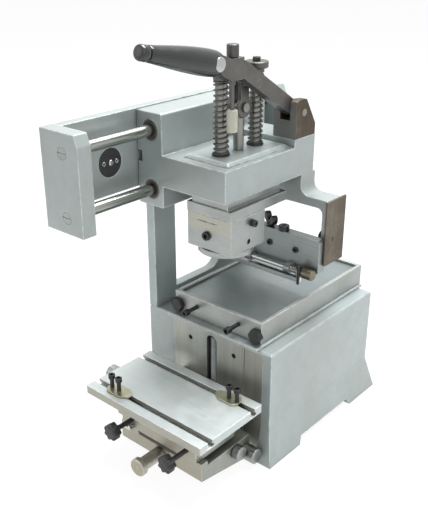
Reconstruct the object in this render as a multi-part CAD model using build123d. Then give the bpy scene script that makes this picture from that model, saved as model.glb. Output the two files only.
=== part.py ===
from build123d import *
from math import cos, hypot, pi, radians, sin, sqrt, tan
import os

os.makedirs("parts", exist_ok=True)

# Hand lever pad printing machine, in millimetres
# X runs along the worktable, Y goes back from the operator and Z goes up
# Sizes are given from the pad's axis at X = 0, the middle of the base's depth at Y = 0 and the bench at Z = 0
# The saved parts are moved so that X = 0 and Y = 0 are at the middle of the whole machine

# Clearances
run_gap = 0.05
slide_gap = 0.3
open_gap = 1.2

# Base casting
base_depth = 260.0
base_right = 105.0
base_left = -128.0
base_height = 175.0
flare = 13.0
flare_height = 55.0
arch_height = 12.0
arch_length = 138.0
arch_slope = 6.0
edge_round = 2.0
base_wall = 11.0
base_roof = 13.0

# Plate on top of the base, and the ink tray on it
top_plate_half_width = 84.0
top_plate_thickness = 4.5
top_plate_lip = 6.0
top_plate_edge = 1.5
tray_half_width = 80.5
tray_front_inset = 8.0
tray_height = 32.5
tray_wall = 5.0
tray_floor = 16.5
printing_plate_thickness = 12.0
printing_plate_margin = 1.0
hex_bolt_flats = 19.0
hex_bolt_head = 8.0
hex_bolt_inset = 7.5
hex_bolt_height = 13.0
plate_screw_left = -38.0
plate_screw_right = 40.0
plate_screw_height = 18.5
plate_screw_reach = 20.0
plate_screw_radius = 3.0
plate_screw_head_radius = 5.0
plate_screw_head = 8.0

# Side frame with its slide beam, end blocks and rods
frame_thickness = 15.0
post_front_depth = 43.5
window_depth = 106.0
sill_height = 17.0
window_round = 28.0
window_corner = 8.0
beam_bottom = 376.0
beam_top = 484.5
frame_back_inset = 42.0
end_block_thickness = 21.0
frame_reach = 174.0
end_block_bottom = 355.0
end_block_right = -58.5
end_block_chamfer = 14.0
rod_radius = 8.0
rod_x = -87.5
rod_low = 376.5
rod_high = 459.0
rod_screw_radius = 5.0
rod_screw_head = 4.0
dial_radius = 20.0
dial_inset = 97.0
dial_z = 420.5
dial_thickness = 1.0
dial_screw_radius = 4.0
dial_screw_head = 3.0

# Carriage
wall_gap = 1.0
wall_right = -66.0
wall_front = -157.0
wall_back = 64.0
wall_bottom = 353.0
wall_top = 483.0
head_right = 44.0
head_bottom = 384.0
head_top = 427.0
carriage_back = 38.0
rib_front = -10.0
rib_height = 11.5
wall_slot_height = 16.0
wall_slot_depth = 8.0
arm_front = 9.7
drop_left = -20.0
arm_under = 341.5
arm_over = 354.5
arm_sweep = 14.0
leg_left = 82.0
leg_right = 91.0
leg_bottom = 265.0
arm_depth = 34.0
leg_corner = 9.0
bush_radius = 12.0
bush_length = 30.0
bush_recess = 3.0
recess_radius = 15.0
plate_left = -41.0
plate_right = 35.5
plate_front = -142.0
plate_back = -11.5
plate_thickness = 5.0
plate_bevel = 4.4
boss_radius = 13.0
boss_y = 12.0
boss_z = 466.0
boss_reach = 4.0
leg_bar_thickness = 3.0
leg_bar_lead = 6.0
leg_bar_depth = 48.0
leg_bar_bottom = 258.0
leg_bar_top = 355.0
leg_bolt_y = 22.0
leg_bolt_z = 296.0

# Fulcrum block and lever
fulcrum_left = 5.6
fulcrum_front = -9.0
fulcrum_back = 37.0
fulcrum_ridge_front = -1.0
fulcrum_ridge_back = 14.0
fulcrum_shoulder = 489.5
fulcrum_ridge = 492.5
fulcrum_heel = 454.0
fork_floor = 460.0
fork_lip = 464.0
arm_thickness = 16.0
lever_pin_radius = 5.0
lever_pin_y = 10.0
lever_pin_z = 473.0
arm_height = 20.0
arm_tail_radius = 11.0
stop_y = -122.0
boss_rear = -111.0
boss_lead = 10.0
neck_height = 22.0
stop_boss_bottom = 534.0
stop_boss_top = 561.0
stop_screw_radius = 4.0
stop_thread_radius = 2.6
stop_knob_radius = 7.5
stop_knob_height = 16.0
stop_foot_radius = 7.0
stop_foot_height = 28.5
stop_foot_bottom = 468.5
stop_foot_grip = 8.0
grip_length = 132.0
grip_root_radius = 16.0
grip_tip_radius = 9.2
grip_tilt = 12.7
grip_root_y = -151.0
grip_gap = 0.8
grip_cap_length = 12.0
grip_groove = 1.4
tang_radius = 6.0
tang_length = 44.0
grip_pin_radius = 9.0
grip_pin_inset = 11.5
link_pin_radius = 5.0
link_pin_z = 524.0

# Pad head
post_radius = 8.0
post_spacing = 71.6
post_middle = -78.5
spring_wire = 2.2
spring_clearance = 0.35
spring_turns = 14
cap_hub_bottom = 530.0
cap_bottom = 535.7
cap_radius = 16.0
cap_thickness = 8.7
cap_hub_radius = 10.6
cap_bolt_flats = 10.0
cap_bolt_head = 5.0
push_rod_radius = 7.0
tongue_thickness = 10.0
tongue_depth = 14.0
link_drop = 34.0
link_plate = 5.0
link_eye_low = 13.0
link_eye_high = 10.0
link_pin_low_radius = 6.0
head_gap = 0.4
slide_plate_half_width = 31.0
slide_plate_front = -137.0
slide_plate_back = -24.0
flange_half_width = 38.8
flange_front = -139.0
flange_back = -17.5
flange_top = 367.0
flange_bottom = 353.5
pad_block_front = -139.0
pad_block_back = -66.0
pad_block_bottom = 304.5
disc_radius = 39.0
disc_thickness = 8.5
spigot_radius = 10.0
spigot_height = 12.0
pad_screw_radius = 4.0
front_screw_x = -3.5
front_screw_z = 324.5
front_screw_radius = 6.0
front_screw_reach = 3.5
side_screw_y = -95.0
side_screw_z = 341.5
side_screw_radius = 4.0
side_screw_reach = 7.0
lock_hole_y = -100.5
lock_hole_z = 315.5
block_slit_z = 344.0

# Doctor blade carrier and flood unit
carrier_left = -32.0
carrier_edge = 0.5
carrier_thickness = 16.0
carrier_bottom = 249.0
carrier_top = 298.5
blade_thickness = 1.0
blade_left = -30.0
blade_right = 58.0
blade_bottom = 234.0
blade_grip = 14.0
blade_inset = 11.0
carrier_screw_left = 4.0
carrier_screw_right = 50.5
carrier_screw_z = 276.0
carrier_screw_radius = 4.5
carrier_screw_head = 2.0
cap_screw_x = 25.0
cap_screw_y = -1.0
cap_screw_radius = 4.0
cap_screw_head_radius = 8.0
cap_screw_head = 8.0
cap_screw_depth = 14.0
wing_x = -1.0
wing_turn = -29.0
wing_radius = 3.0
wing_reach = 16.0
wing_depth = 14.0
flood_pivot_y = -15.0
flood_pivot_z = 249.0
flood_pivot_radius = 3.5
lug_thickness = 10.0
lug_round = 7.0
lug_left = -32.0
lug_right = 40.0
flood_bar_left = -60.0
flood_bar_right = 66.0
flood_bar_depth = 8.0
flood_bar_bottom = 231.0
flood_bar_height = 8.0
flood_lip_height = 3.0
flood_lip_depth = 5.0
flood_arm_radius = 2.8
flood_knob_left = 72.0
flood_knob_radius = 8.0
flood_knob_length = 17.0

# Vertical guide on the front of the base
guide_x = -3.0
guide_half_width = 60.0
guide_thickness = 12.0
guide_pocket_drop = 5.0
guide_bottom = 6.0
gib_left_width = 14.0
gib_right_width = 32.0
gib_split = 1.0
guide_slot_half_width = 9.6
guide_slot_drop = 4.0
guide_slot_bottom = 14.0
guide_screw_offset = 41.3
guide_screw_drop = 21.0
guide_screw_radius = 4.0
lead_screw_radius = 7.0
lead_screw_depth = 8.0
lead_journal = 5.0
lead_screw_drop = 3.0

# Knee and its slide
knee_x = 2.0
knee_half_width = 78.0
knee_reach = 115.0
knee_top = 43.0
knee_nose = 21.5
knee_heel = 4.0
slide_thickness = 13.0
slide_half_width = 56.0
slide_top = 92.0
nut_half_width = 8.0
nut_bottom = 56.0
nut_height = 18.0
side_knob_radius = 11.5
side_knob_length = 22.0
side_knob_reach = 23.0
side_knob_rise = 16.0
small_knob_radius = 10.5
small_knob_length = 12.0
small_knob_reach = 44.0
small_knob_drop = 11.0
knob_shaft_radius = 5.0
knob_shaft_depth = 12.0

# Saddle, its lead screw and front knobs
saddle_x = 1.0
saddle_half_width = 71.5
saddle_reach = 118.0
saddle_depth = 80.0
saddle_lift = 7.0
saddle_height = 34.0
table_slide_height = 15.0
saddle_boss_radius = 8.0
saddle_boss_length = 14.0
saddle_boss_inset = 12.0
saddle_boss_rise = 10.0
dovetail_half_width = 36.0
dovetail_inset = 16.0
ear_left_width = 34.0
ear_right_width = 41.0
ear_depth = 12.0
front_knob_radius = 12.3
front_knob_length = 14.0
front_knob_shaft_radius = 3.5
front_knob_reach = 30.0
front_knob_left = -50.0
front_knob_right = 55.0
front_knob_rise = 13.5
front_knob_flutes = 7
cross_screw_x = 2.0
cross_screw_radius = 6.0
cross_screw_drop = 12.0
cross_knob_radius = 13.0
cross_knob_length = 9.0
cross_neck_radius = 9.5
cross_neck_length = 36.0
cross_screw_depth = 70.0

# Table slide and top
table_half_width = 108.0
table_reach = 149.0
table_depth = 126.0
table_thickness = 12.0
under_half_width = 71.0
under_front_inset = 31.5
under_back_inset = 22.0
slot_inset = 15.0
slot_width = 9.0
slot_neck = 5.0
slot_tee_width = 15.0
slot_tee_depth = 5.0
end_knob_radius = 12.0
end_knob_length = 16.0
end_screw_radius = 5.0
end_screw_inset = 67.0
end_screw_length = 60.0
end_knob_gap = 8.0

# Clamps in the table slots
clamp_length = 42.0
clamp_heel = 12.0
clamp_width = 22.0
clamp_thickness = 3.0
clamp_nose = 12.0
clamp_left_x = -68.0
clamp_right_x = 73.0
clamp_screw_pitch = 14.0
clamp_screw_radius = 3.0
clamp_screw_head_radius = 4.8
clamp_screw_head = 6.0
clamp_screw_height = 14.0

# Values worked out from the sizes above
base_front = -base_depth / 2
base_back = base_depth / 2
frame_right = base_left + frame_thickness
frame_back = base_back - frame_back_inset
end_block_front = base_front - frame_reach
dial_y = end_block_front + dial_inset
plate_top_z = base_height + top_plate_thickness
tray_front = base_front + tray_front_inset
tray_back = base_back + top_plate_lip
tray_top = plate_top_z + tray_height
floor_z = plate_top_z + tray_floor
wall_left = frame_right + wall_gap
rib_top = head_top + rib_height
lever_x = (fulcrum_left + head_right) / 2
arm_left = lever_x - arm_thickness / 2
arm_right = lever_x + arm_thickness / 2
head_plate_top = head_top + plate_thickness
spring_radius = post_radius + spring_clearance + spring_wire / 2
post_front = post_middle - post_spacing / 2
post_back = post_middle + post_spacing / 2
carrier_right = leg_right - carrier_edge
guide_pocket_top = base_height - guide_pocket_drop
guide_slot_top = guide_pocket_top - guide_slot_drop
guide_screw_z = guide_pocket_top - guide_screw_drop
guide_front = base_front
guide_back = base_front + guide_thickness
lead_y = base_front + lead_screw_depth
knee_front = base_front - knee_reach
side_knob_y = base_front - side_knob_reach
side_knob_z = knee_heel + side_knob_rise
small_knob_y = base_front - small_knob_reach
small_knob_z = knee_top - small_knob_drop
cross_screw_z = knee_top - cross_screw_drop
saddle_front = base_front - saddle_reach
saddle_back = saddle_front + saddle_depth
saddle_bottom = knee_top + saddle_lift
saddle_top = saddle_bottom + saddle_height
saddle_boss_y = saddle_front + saddle_boss_inset
saddle_boss_z = saddle_bottom + saddle_boss_rise
dovetail_front = saddle_front + dovetail_inset
front_knob_z = saddle_bottom + front_knob_rise
table_front = base_front - table_reach
table_back = table_front + table_depth
table_under = saddle_top + table_slide_height
table_top = table_under + table_thickness
end_screw_y = table_front + end_screw_inset
origin_x = (base_left + base_right) / 2
origin_y = (end_block_front + base_back + flare) / 2


def block(x0, x1, y0, y1, z0, z1):
    return Pos((x0 + x1) / 2, (y0 + y1) / 2, (z0 + z1) / 2) * Box(x1 - x0, y1 - y0, z1 - z0)


def bar_x(radius, x0, x1, y, z):
    return Pos((x0 + x1) / 2, y, z) * Rot(0, 90, 0) * Cylinder(radius, x1 - x0)


def bar_y(radius, x, y0, y1, z):
    return Pos(x, (y0 + y1) / 2, z) * Rot(90, 0, 0) * Cylinder(radius, y1 - y0)


def bar_z(radius, x, y, z0, z1):
    return Pos(x, y, (z0 + z1) / 2) * Cylinder(radius, z1 - z0)


def plate_x(points, x0, x1):
    """Plate whose outline of Y, Z points is spread from x0 to x1."""
    face = make_face(Polyline([(x0, y, z) for y, z in points], close=True))
    return extrude(face, amount=x1 - x0, dir=(1, 0, 0))


def plate_y(points, y0, y1):
    """Plate whose outline of X, Z points is spread from y0 to y1."""
    face = make_face(Polyline([(x, y0, z) for x, z in points], close=True))
    return extrude(face, amount=y1 - y0, dir=(0, 1, 0))


def plate_z(points, z0, z1):
    """Plate whose outline of X, Y points is spread from z0 to z1."""
    face = make_face(Polyline([(x, y, z0) for x, y in points], close=True))
    return extrude(face, amount=z1 - z0, dir=(0, 0, 1))


def hexagon(flats, length):
    return extrude(RegularPolygon(flats / sqrt(3), 6), amount=length)


def save(shape, name):
    export_step(Pos(-origin_x, -origin_y, 0) * shape, "parts/" + name + ".step")


def edges_at(shape, axis, low, high):
    """Edges along one axis whose middle lies between two corners."""
    box = [e for e in shape.edges().filter_by(axis)]
    return [e for e in box if all(l - 0.01 <= c <= h + 0.01 for l, c, h in zip(low, e.center(), high))]


# Base casting
def base_casting():
    left, right = base_left, base_right
    upper = block(left, right, base_front, base_back, flare_height, base_height)
    low_face = Pos((left + right) / 2, 0, 0) * Rectangle(right - left + 2 * flare, base_depth + 2 * flare)
    high_face = Pos((left + right) / 2, 0, flare_height) * Rectangle(right - left, base_depth)
    solid = upper + loft([low_face, high_face])
    half = arch_length / 2
    arch = [(-half, 0), (-half + arch_slope, arch_height), (half - arch_slope, arch_height), (half, 0)]
    solid -= plate_x(arch, left - 2 * flare, right + 2 * flare)
    pocket_left = guide_x - guide_half_width - gib_left_width
    pocket_right = guide_x + guide_half_width + gib_split + gib_right_width
    solid -= block(pocket_left, pocket_right, base_front - 2 * flare, guide_back, 0, guide_pocket_top)
    half = guide_slot_half_width
    channel_back = lead_y + lead_screw_radius + 3
    solid -= block(guide_x - half, guide_x + half, guide_back, channel_back, guide_bottom + 2, guide_slot_top)
    solid -= bar_z(lead_journal + run_gap, guide_x, lead_y, 2, guide_bottom + 2)
    wall = base_wall
    hollow = block(left + wall, right - wall, channel_back + wall, base_back - wall, -1,
                   base_height - base_roof)
    solid -= fillet(hollow.edges().filter_by(Axis.Z), wall)
    top_edges = solid.edges().filter_by(GeomType.LINE).group_by(Axis.Z)[-1]
    return chamfer(top_edges, edge_round)


save(base_casting(), "base_casting")

# Plate under the tray, its lip standing out over the front guide
lip_y = (base_front - top_plate_lip, base_back + top_plate_lip)
lip = block(-top_plate_half_width, top_plate_half_width, lip_y[0], lip_y[1], base_height, plate_top_z)
lip = chamfer(lip.edges().group_by(Axis.Z)[-1], top_plate_edge)
save(lip, "top_plate")


# Side frame: two posts and a sill round a window, under the beam that carries the rods
def side_frame():
    beam_front = end_block_front + end_block_thickness
    outline = [(base_front, base_height), (base_front, beam_bottom), (beam_front, beam_bottom),
               (beam_front, beam_top), (frame_back, beam_top), (frame_back, base_height)]
    solid = plate_x(outline, base_left, frame_right)
    y0 = base_front + post_front_depth
    y1 = y0 + window_depth
    z0 = plate_top_z + sill_height
    hole = block(base_left - 1, frame_right + 1, y0, y1, z0, beam_bottom)
    low_back = edges_at(hole, Axis.X, (-999, y1, z0), (999, y1, z0))
    hole = fillet(low_back, window_round)
    high = edges_at(hole, Axis.X, (-999, y0, beam_bottom), (999, y1, beam_bottom))
    hole = fillet(high, window_corner)
    solid -= hole
    dial = bar_x(dial_radius, frame_right - dial_thickness, frame_right + 1, dial_y, dial_z)
    return solid - dial - bar_x(dial_screw_radius, frame_right - 8, frame_right, dial_y, dial_z)


save(side_frame(), "side_frame")


# End blocks that hold the two rods
def end_block(y0, y1):
    c = end_block_chamfer
    left, right, low, high = base_left, end_block_right, end_block_bottom, beam_top
    outline = [(left, low), (right, low), (right, high - c), (right - 0.45 * c, high), (left, high)]
    solid = plate_y(outline, y0, y1)
    for z in (rod_low, rod_high):
        solid -= bar_y(rod_radius, rod_x, y0 - 1, y1 + 1, z)
    return solid


end_blocks = [end_block(y, y + end_block_thickness) for y in (end_block_front, frame_back)]
save(Compound(end_blocks), "end_blocks")
rod_front = end_block_front + rod_screw_head
rod_back = frame_back + end_block_thickness - rod_screw_head
rods = [bar_y(rod_radius, rod_x, rod_front, rod_back, z) for z in (rod_low, rod_high)]
save(Compound(rods), "guide_rods")


# Slotted screw flush in the end of each rod bore
def rod_end_screw(y0, y1, slot_y, z):
    screw = bar_y(rod_radius, rod_x, y0, y1, z)
    slot = block(rod_x - rod_radius, rod_x + rod_radius, slot_y - 1, slot_y + 1, z - 0.8, z + 0.8)
    return screw - slot


screws = [rod_end_screw(end_block_front, rod_front, end_block_front, z) for z in (rod_low, rod_high)]
rear_end = frame_back + end_block_thickness
screws += [rod_end_screw(rod_back, rear_end, rear_end, z) for z in (rod_low, rod_high)]
save(Compound(screws), "rod_end_screws")

# Round dial sunk in the beam, with its bright centre screw
dial_low = frame_right - dial_thickness
dial = bar_x(dial_radius, dial_low, frame_right, dial_y, dial_z)
save(dial - bar_x(dial_screw_radius, dial_low, frame_right, dial_y, dial_z), "dial_plate")
dial_screw = bar_x(dial_screw_radius, frame_right - 8, frame_right, dial_y, dial_z)
dome = bar_x(dial_screw_radius, frame_right, frame_right + dial_screw_head, dial_y, dial_z)
dome = fillet(dome.edges().filter_by(GeomType.CIRCLE).group_by(Axis.X)[-1], 1.5)
save(dial_screw + dome, "dial_screw")


# Ink tray with its plate, bolts and plate screws
def tray_screw_hole(x, radius, z):
    return bar_y(radius, x, tray_front - 1, tray_front + tray_wall + 1, z)


hex_x = (-tray_half_width + hex_bolt_inset, tray_half_width - hex_bolt_inset)
hex_z = plate_top_z + hex_bolt_height
screw_z = plate_top_z + plate_screw_height
tray = block(-tray_half_width, tray_half_width, tray_front, tray_back, plate_top_z, tray_top)
inner = tray_half_width - tray_wall
tray_inside = block(-inner, inner, tray_front + tray_wall, tray_back - tray_wall, floor_z, tray_top + 1)
tray_inside = fillet(tray_inside.edges().filter_by(Axis.Z), 3)
tray -= tray_inside
for x in hex_x:
    tray -= tray_screw_hole(x, hex_bolt_flats / 4, hex_z)
for x in (plate_screw_left, plate_screw_right):
    tray -= tray_screw_hole(x, plate_screw_radius, screw_z)
save(tray, "ink_tray")
plate_half = inner - printing_plate_margin
plate_y0 = tray_front + tray_wall + printing_plate_margin
plate_y1 = tray_back - tray_wall - printing_plate_margin
etched = block(-plate_half, plate_half, plate_y0, plate_y1, floor_z, floor_z + printing_plate_thickness)
save(etched, "printing_plate")


def tray_bolt(x):
    head = Pos(x, tray_front, hex_z) * Rot(90, 0, 0) * hexagon(hex_bolt_flats, hex_bolt_head)
    head = chamfer(head.edges().group_by(Axis.Y)[0], 0.8)
    return head + bar_y(hex_bolt_flats / 4, x, tray_front, tray_front + tray_wall, hex_z)


save(Compound([tray_bolt(x) for x in hex_x]), "tray_hex_bolts")


def socket_cap(radius, height, socket):
    """Cap screw head on its under face, with a hexagon socket in the top."""
    head = extrude(Circle(radius), amount=height)
    head = chamfer(head.edges().group_by(Axis.Z)[-1], radius * 0.08)
    return head - Pos(0, 0, height * 0.45) * hexagon(socket, height)


def plate_screw(x):
    shank_front = tray_front - plate_screw_reach
    shank = bar_y(plate_screw_radius, x, shank_front, tray_front + tray_wall, screw_z)
    head = Pos(x, shank_front, screw_z) * Rot(90, 0, 0)
    return shank + head * socket_cap(plate_screw_head_radius, plate_screw_head, plate_screw_radius * 1.7)


save(Compound([plate_screw(x) for x in (plate_screw_left, plate_screw_right)]), "plate_screws")


# Vertical guide: slotted plate between two gibs, over the lead screw
def guide_plate():
    left, right = guide_x - guide_half_width, guide_x + guide_half_width
    solid = block(left, right, guide_front, guide_back, guide_bottom, guide_pocket_top)
    half = guide_slot_half_width
    slot = block(guide_x - half, guide_x + half, guide_front - 1, guide_back + 1,
                 guide_slot_bottom, guide_slot_top)
    top = edges_at(slot, Axis.Y, (-999, -999, guide_slot_top), (999, 999, guide_slot_top))
    solid -= fillet(top, half * 0.9)
    for side in (-1, 1):
        solid -= bar_y(guide_screw_radius, guide_x + side * guide_screw_offset, guide_front - 1,
                       guide_back + 1, guide_screw_z)
    return solid - bar_z(lead_journal + run_gap, guide_x, lead_y, guide_bottom - 1, guide_slot_bottom + 1)


save(guide_plate(), "guide_plate")


def gib(x, width):
    return block(x, x + width, guide_front, guide_back, guide_bottom, guide_pocket_top)


gibs = [gib(guide_x - guide_half_width - gib_left_width, gib_left_width),
        gib(guide_x + guide_half_width + gib_split, gib_right_width)]
save(Compound(gibs), "guide_gibs")


def guide_screw(side):
    x = guide_x + side * guide_screw_offset
    screw = bar_y(guide_screw_radius, x, guide_front + 1, guide_back, guide_screw_z)
    return screw - Pos(x, guide_front + 4, guide_screw_z) * Rot(90, 0, 0) * hexagon(guide_screw_radius, 5)


save(Compound([guide_screw(-1), guide_screw(1)]), "guide_screws")
lead_low = guide_slot_bottom + slide_gap
lead_screw = bar_z(lead_screw_radius, guide_x, lead_y, lead_low, guide_slot_top - lead_screw_drop)
lead_screw += bar_z(lead_journal, guide_x, lead_y, guide_bottom - 2, lead_low)
save(lead_screw, "z_lead_screw")


# Carriage casting: bearing wall, head box, rear rib, drop arm and leg
def arm_outline():
    """Outline of the drop arm in X and Z, as one closed wire's edges."""
    top, right, over, under = head_bottom, head_right, arm_over, arm_under
    r, c = arm_sweep, leg_corner
    edges = [Line((drop_left, top), (right, top)), Line((right, top), (right, over + r))]
    edges.append(TangentArc([(right, over + r), (right + r, over)], tangent=(0, -1)))
    edges.append(Line((right + r, over), (leg_right - 3, over)))
    edges.append(TangentArc([(leg_right - 3, over), (leg_right, over - 3)], tangent=(1, 0)))
    edges.append(Line((leg_right, over - 3), (leg_right, leg_bottom)))
    edges.append(Line((leg_right, leg_bottom), (leg_left, leg_bottom)))
    edges.append(Line((leg_left, leg_bottom), (leg_left, under - c)))
    edges.append(TangentArc([(leg_left, under - c), (leg_left - c, under)], tangent=(0, 1)))
    edges.append(Line((leg_left - c, under), (drop_left, under)))
    edges.append(Line((drop_left, under), (drop_left, top)))
    return edges


def carriage_casting():
    wall = block(wall_left, wall_right, wall_front, wall_back, wall_bottom, wall_top)
    wall = chamfer(edges_at(wall, Axis.Y, (wall_right, -999, wall_bottom), (wall_right, 999, wall_top)), 1.5)
    head = block(wall_right - 5, head_right, wall_front, carriage_back, head_bottom, head_top)
    rib = block(wall_right - 5, head_right, rib_front, carriage_back, head_top, rib_top)
    face = Plane.XZ * make_face(arm_outline())
    arm = Pos(0, arm_front, 0) * extrude(face, amount=-arm_depth)
    solid = wall + head + rib + arm
    for z in (rod_low, rod_high):
        solid -= bar_y(rod_radius + 1.5, rod_x, wall_front - 1, wall_back + 1, z)
        for y0, y1 in bush_spans():
            solid -= bar_y(bush_radius, rod_x, y0, y1, z)
        solid -= bar_y(recess_radius, rod_x, wall_front - 1, wall_front + bush_recess, z)
        solid -= bar_y(recess_radius, rod_x, wall_back - bush_recess, wall_back + 1, z)
    slot_low = dial_z - wall_slot_height / 2
    solid -= block(wall_left - 1, wall_left + wall_slot_depth, wall_front - 1, wall_back + 1,
                   slot_low, slot_low + wall_slot_height)
    for y in (post_front, post_back):
        solid -= bar_z(post_radius + run_gap, 0, y, head_bottom - 1, head_top + 1)
    solid -= bar_z(push_rod_radius + run_gap, 0, post_middle, head_bottom - 1, head_top + 1)
    solid -= bar_x(cap_screw_radius, leg_left - 1, leg_right + 1, leg_bolt_y, leg_bolt_z)
    solid -= bar_x(boss_radius, wall_right - boss_reach, wall_right + 1, boss_y, boss_z)
    return solid


def bush_spans():
    first = wall_front + bush_recess
    last = wall_back - bush_recess
    return ((first, first + bush_length), (last - bush_length, last))


save(carriage_casting(), "carriage_casting")


def rod_bush(y0, y1, z):
    return bar_y(bush_radius, rod_x, y0, y1, z) - bar_y(rod_radius + run_gap, rod_x, y0 - 1, y1 + 1, z)


bushes = [rod_bush(y0, y1, z) for y0, y1 in bush_spans() for z in (rod_low, rod_high)]
save(Compound(bushes), "rod_bushes")

# Raised plate on the head box, bored for the posts and the push rod
raised = block(plate_left, plate_right, plate_front, plate_back, head_top, head_plate_top)
raised = chamfer(raised.edges().group_by(Axis.Z)[-1], plate_bevel)
for y in (post_front, post_back):
    raised -= bar_z(post_radius + run_gap, 0, y, head_top - 1, head_plate_top + 1)
raised -= bar_z(push_rod_radius + run_gap, 0, post_middle, head_top - 1, head_plate_top + 1)
save(raised, "head_plate")

# Polished boss in the wall's inner face
boss = bar_x(boss_radius, wall_right - boss_reach, wall_right + boss_reach, boss_y, boss_z)
boss = fillet(boss.edges().filter_by(GeomType.CIRCLE).group_by(Axis.X)[-1], 1.5)
save(boss, "wall_boss")

# Steel bar on the leg's outer face, with the bolt through both
bar_right = leg_right + leg_bar_thickness
bar_front = arm_front - leg_bar_lead
leg_bar = block(leg_right, bar_right, bar_front, bar_front + leg_bar_depth, leg_bar_bottom, leg_bar_top)
leg_bar = chamfer(edges_at(leg_bar, Axis.X, (-999, bar_front, 0), (999, bar_front, leg_bar_bottom)), 3)
leg_bar -= bar_x(cap_screw_radius, leg_right - 1, bar_right + 1, leg_bolt_y, leg_bolt_z)
save(leg_bar, "leg_bar")


def cap_screw(length):
    """Socket cap screw that stands on its head's under face at Z = 0."""
    head = socket_cap(cap_screw_head_radius, cap_screw_head, cap_screw_radius * 1.4)
    return head + bar_z(cap_screw_radius, 0, 0, -length, 0)


leg_screw = Pos(leg_left, leg_bolt_y, leg_bolt_z) * Rot(0, -90, 0) * cap_screw(bar_right - leg_left)
carrier_mid = arm_front - carrier_thickness / 2
carrier_cap = Pos(cap_screw_x, cap_screw_y, carrier_top) * cap_screw(cap_screw_depth)
save(Compound([leg_screw, carrier_cap]), "carriage_cap_screws")


# Gabled steel fulcrum block, slotted for the lever
def fulcrum_block():
    outline = [(fulcrum_front, rib_top), (fulcrum_front, fulcrum_shoulder),
               (fulcrum_ridge_front, fulcrum_ridge), (fulcrum_ridge_back, fulcrum_ridge - 1.5),
               (fulcrum_back, fulcrum_heel), (fulcrum_back, rib_top)]
    solid = plate_x(outline, fulcrum_left, head_right)
    floor = [(fulcrum_front - 1, fork_lip), (fulcrum_ridge_front, fork_floor), (fulcrum_back + 1, fork_floor),
             (fulcrum_back + 1, fulcrum_ridge + 1), (fulcrum_front - 1, fulcrum_ridge + 1)]
    fork = plate_x(floor, arm_left - slide_gap, arm_right + slide_gap)
    return solid - fork - bar_x(lever_pin_radius, fulcrum_left - 1, head_right + 1, lever_pin_y, lever_pin_z)


save(fulcrum_block(), "fulcrum_block")
save(bar_x(lever_pin_radius, fulcrum_left, head_right, lever_pin_y, lever_pin_z), "lever_pin")

# Lever arm: tail round the pin, straight bar, boss for the stop screw and tang for the grip
grip_axis = (0.0, -cos(radians(grip_tilt)), sin(radians(grip_tilt)))
boss_mid = (stop_boss_bottom + stop_boss_top) / 2
grip_start = (lever_x, grip_root_y, boss_mid + (boss_rear - grip_root_y) * tan(radians(grip_tilt)))


def along_grip(distance):
    return tuple(s + distance * a for s, a in zip(grip_start, grip_axis))


def grip_plane(distance):
    return Plane(origin=along_grip(distance), z_dir=grip_axis, x_dir=(1, 0, 0))


def lever_arm():
    run = boss_rear - lever_pin_y
    rise = boss_mid - lever_pin_z
    length = hypot(run, rise)
    ny, nz = -rise / length, run / length
    h = arm_height / 2
    bar = [(lever_pin_y + ny * h, lever_pin_z + nz * h), (lever_pin_y - ny * h, lever_pin_z - nz * h),
           (boss_rear - ny * h, boss_mid - nz * h), (boss_rear + ny * h, boss_mid + nz * h)]
    solid = plate_x(bar, arm_left, arm_right)
    solid += bar_x(arm_tail_radius, arm_left, arm_right, lever_pin_y, lever_pin_z)
    end_y, end_z = along_grip(-grip_gap)[1:]
    lean_y = neck_height / 2 * sin(radians(grip_tilt))
    lean_z = neck_height / 2 * cos(radians(grip_tilt))
    boss = [(boss_rear + 2, stop_boss_bottom), (stop_y - boss_lead, stop_boss_bottom),
            (end_y - lean_y, end_z - lean_z), (end_y + lean_y, end_z + lean_z),
            (stop_y - boss_lead, stop_boss_top), (boss_rear + 2, stop_boss_top)]
    solid += plate_x(boss, arm_left, arm_right)
    start = grip_plane(-6)
    solid += extrude(start * Circle(tang_radius), amount=tang_length)
    solid -= bar_z(stop_screw_radius + run_gap, lever_x, stop_y, stop_boss_bottom - 1, stop_boss_top + 1)
    solid -= bar_x(lever_pin_radius + run_gap, arm_left - 1, arm_right + 1, lever_pin_y, lever_pin_z)
    solid -= bar_x(link_pin_radius, arm_left - 1, arm_right + 1, post_middle, link_pin_z)
    pin_y, pin_z = along_grip(grip_pin_inset)[1:]
    return solid - bar_x(tang_radius * 0.6, arm_left - 20, arm_right + 20, pin_y, pin_z)


save(lever_arm(), "lever_arm")


# Tapered grip, its end cap past a groove, and the polished cross pin
def grip_body():
    body_length = grip_length - grip_cap_length
    stations = [(0, grip_root_radius * 0.86), (10, grip_root_radius),
                (body_length * 0.55, grip_root_radius * 0.88), (body_length - grip_groove, grip_tip_radius)]
    top = Spline([(r, d) for d, r in stations])
    first, last = stations[0], stations[-1]
    outline = [Line((0, first[0]), (first[1], first[0])), top, Line((last[1], last[0]), (0, last[0])),
               Line((0, last[0]), (0, first[0]))]
    solid = revolve(Plane.XZ * make_face(outline), axis=Axis.Z)
    neck = Pos(0, 0, body_length - grip_groove / 2) * Cylinder(grip_tip_radius * 0.8, grip_groove)
    solid += neck
    solid -= Pos(0, 0, (tang_length - 6) / 2) * Cylinder(tang_radius, tang_length - 6)
    solid = grip_plane(0).location * solid
    pin_y, pin_z = along_grip(grip_pin_inset)[1:]
    solid -= bar_x(grip_pin_radius, lever_x - 30, lever_x - 10, pin_y, pin_z)
    solid -= bar_x(grip_pin_radius, lever_x + 10, lever_x + 30, pin_y, pin_z)
    return solid - bar_x(tang_radius * 0.6, lever_x - 30, lever_x + 30, pin_y, pin_z)


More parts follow.
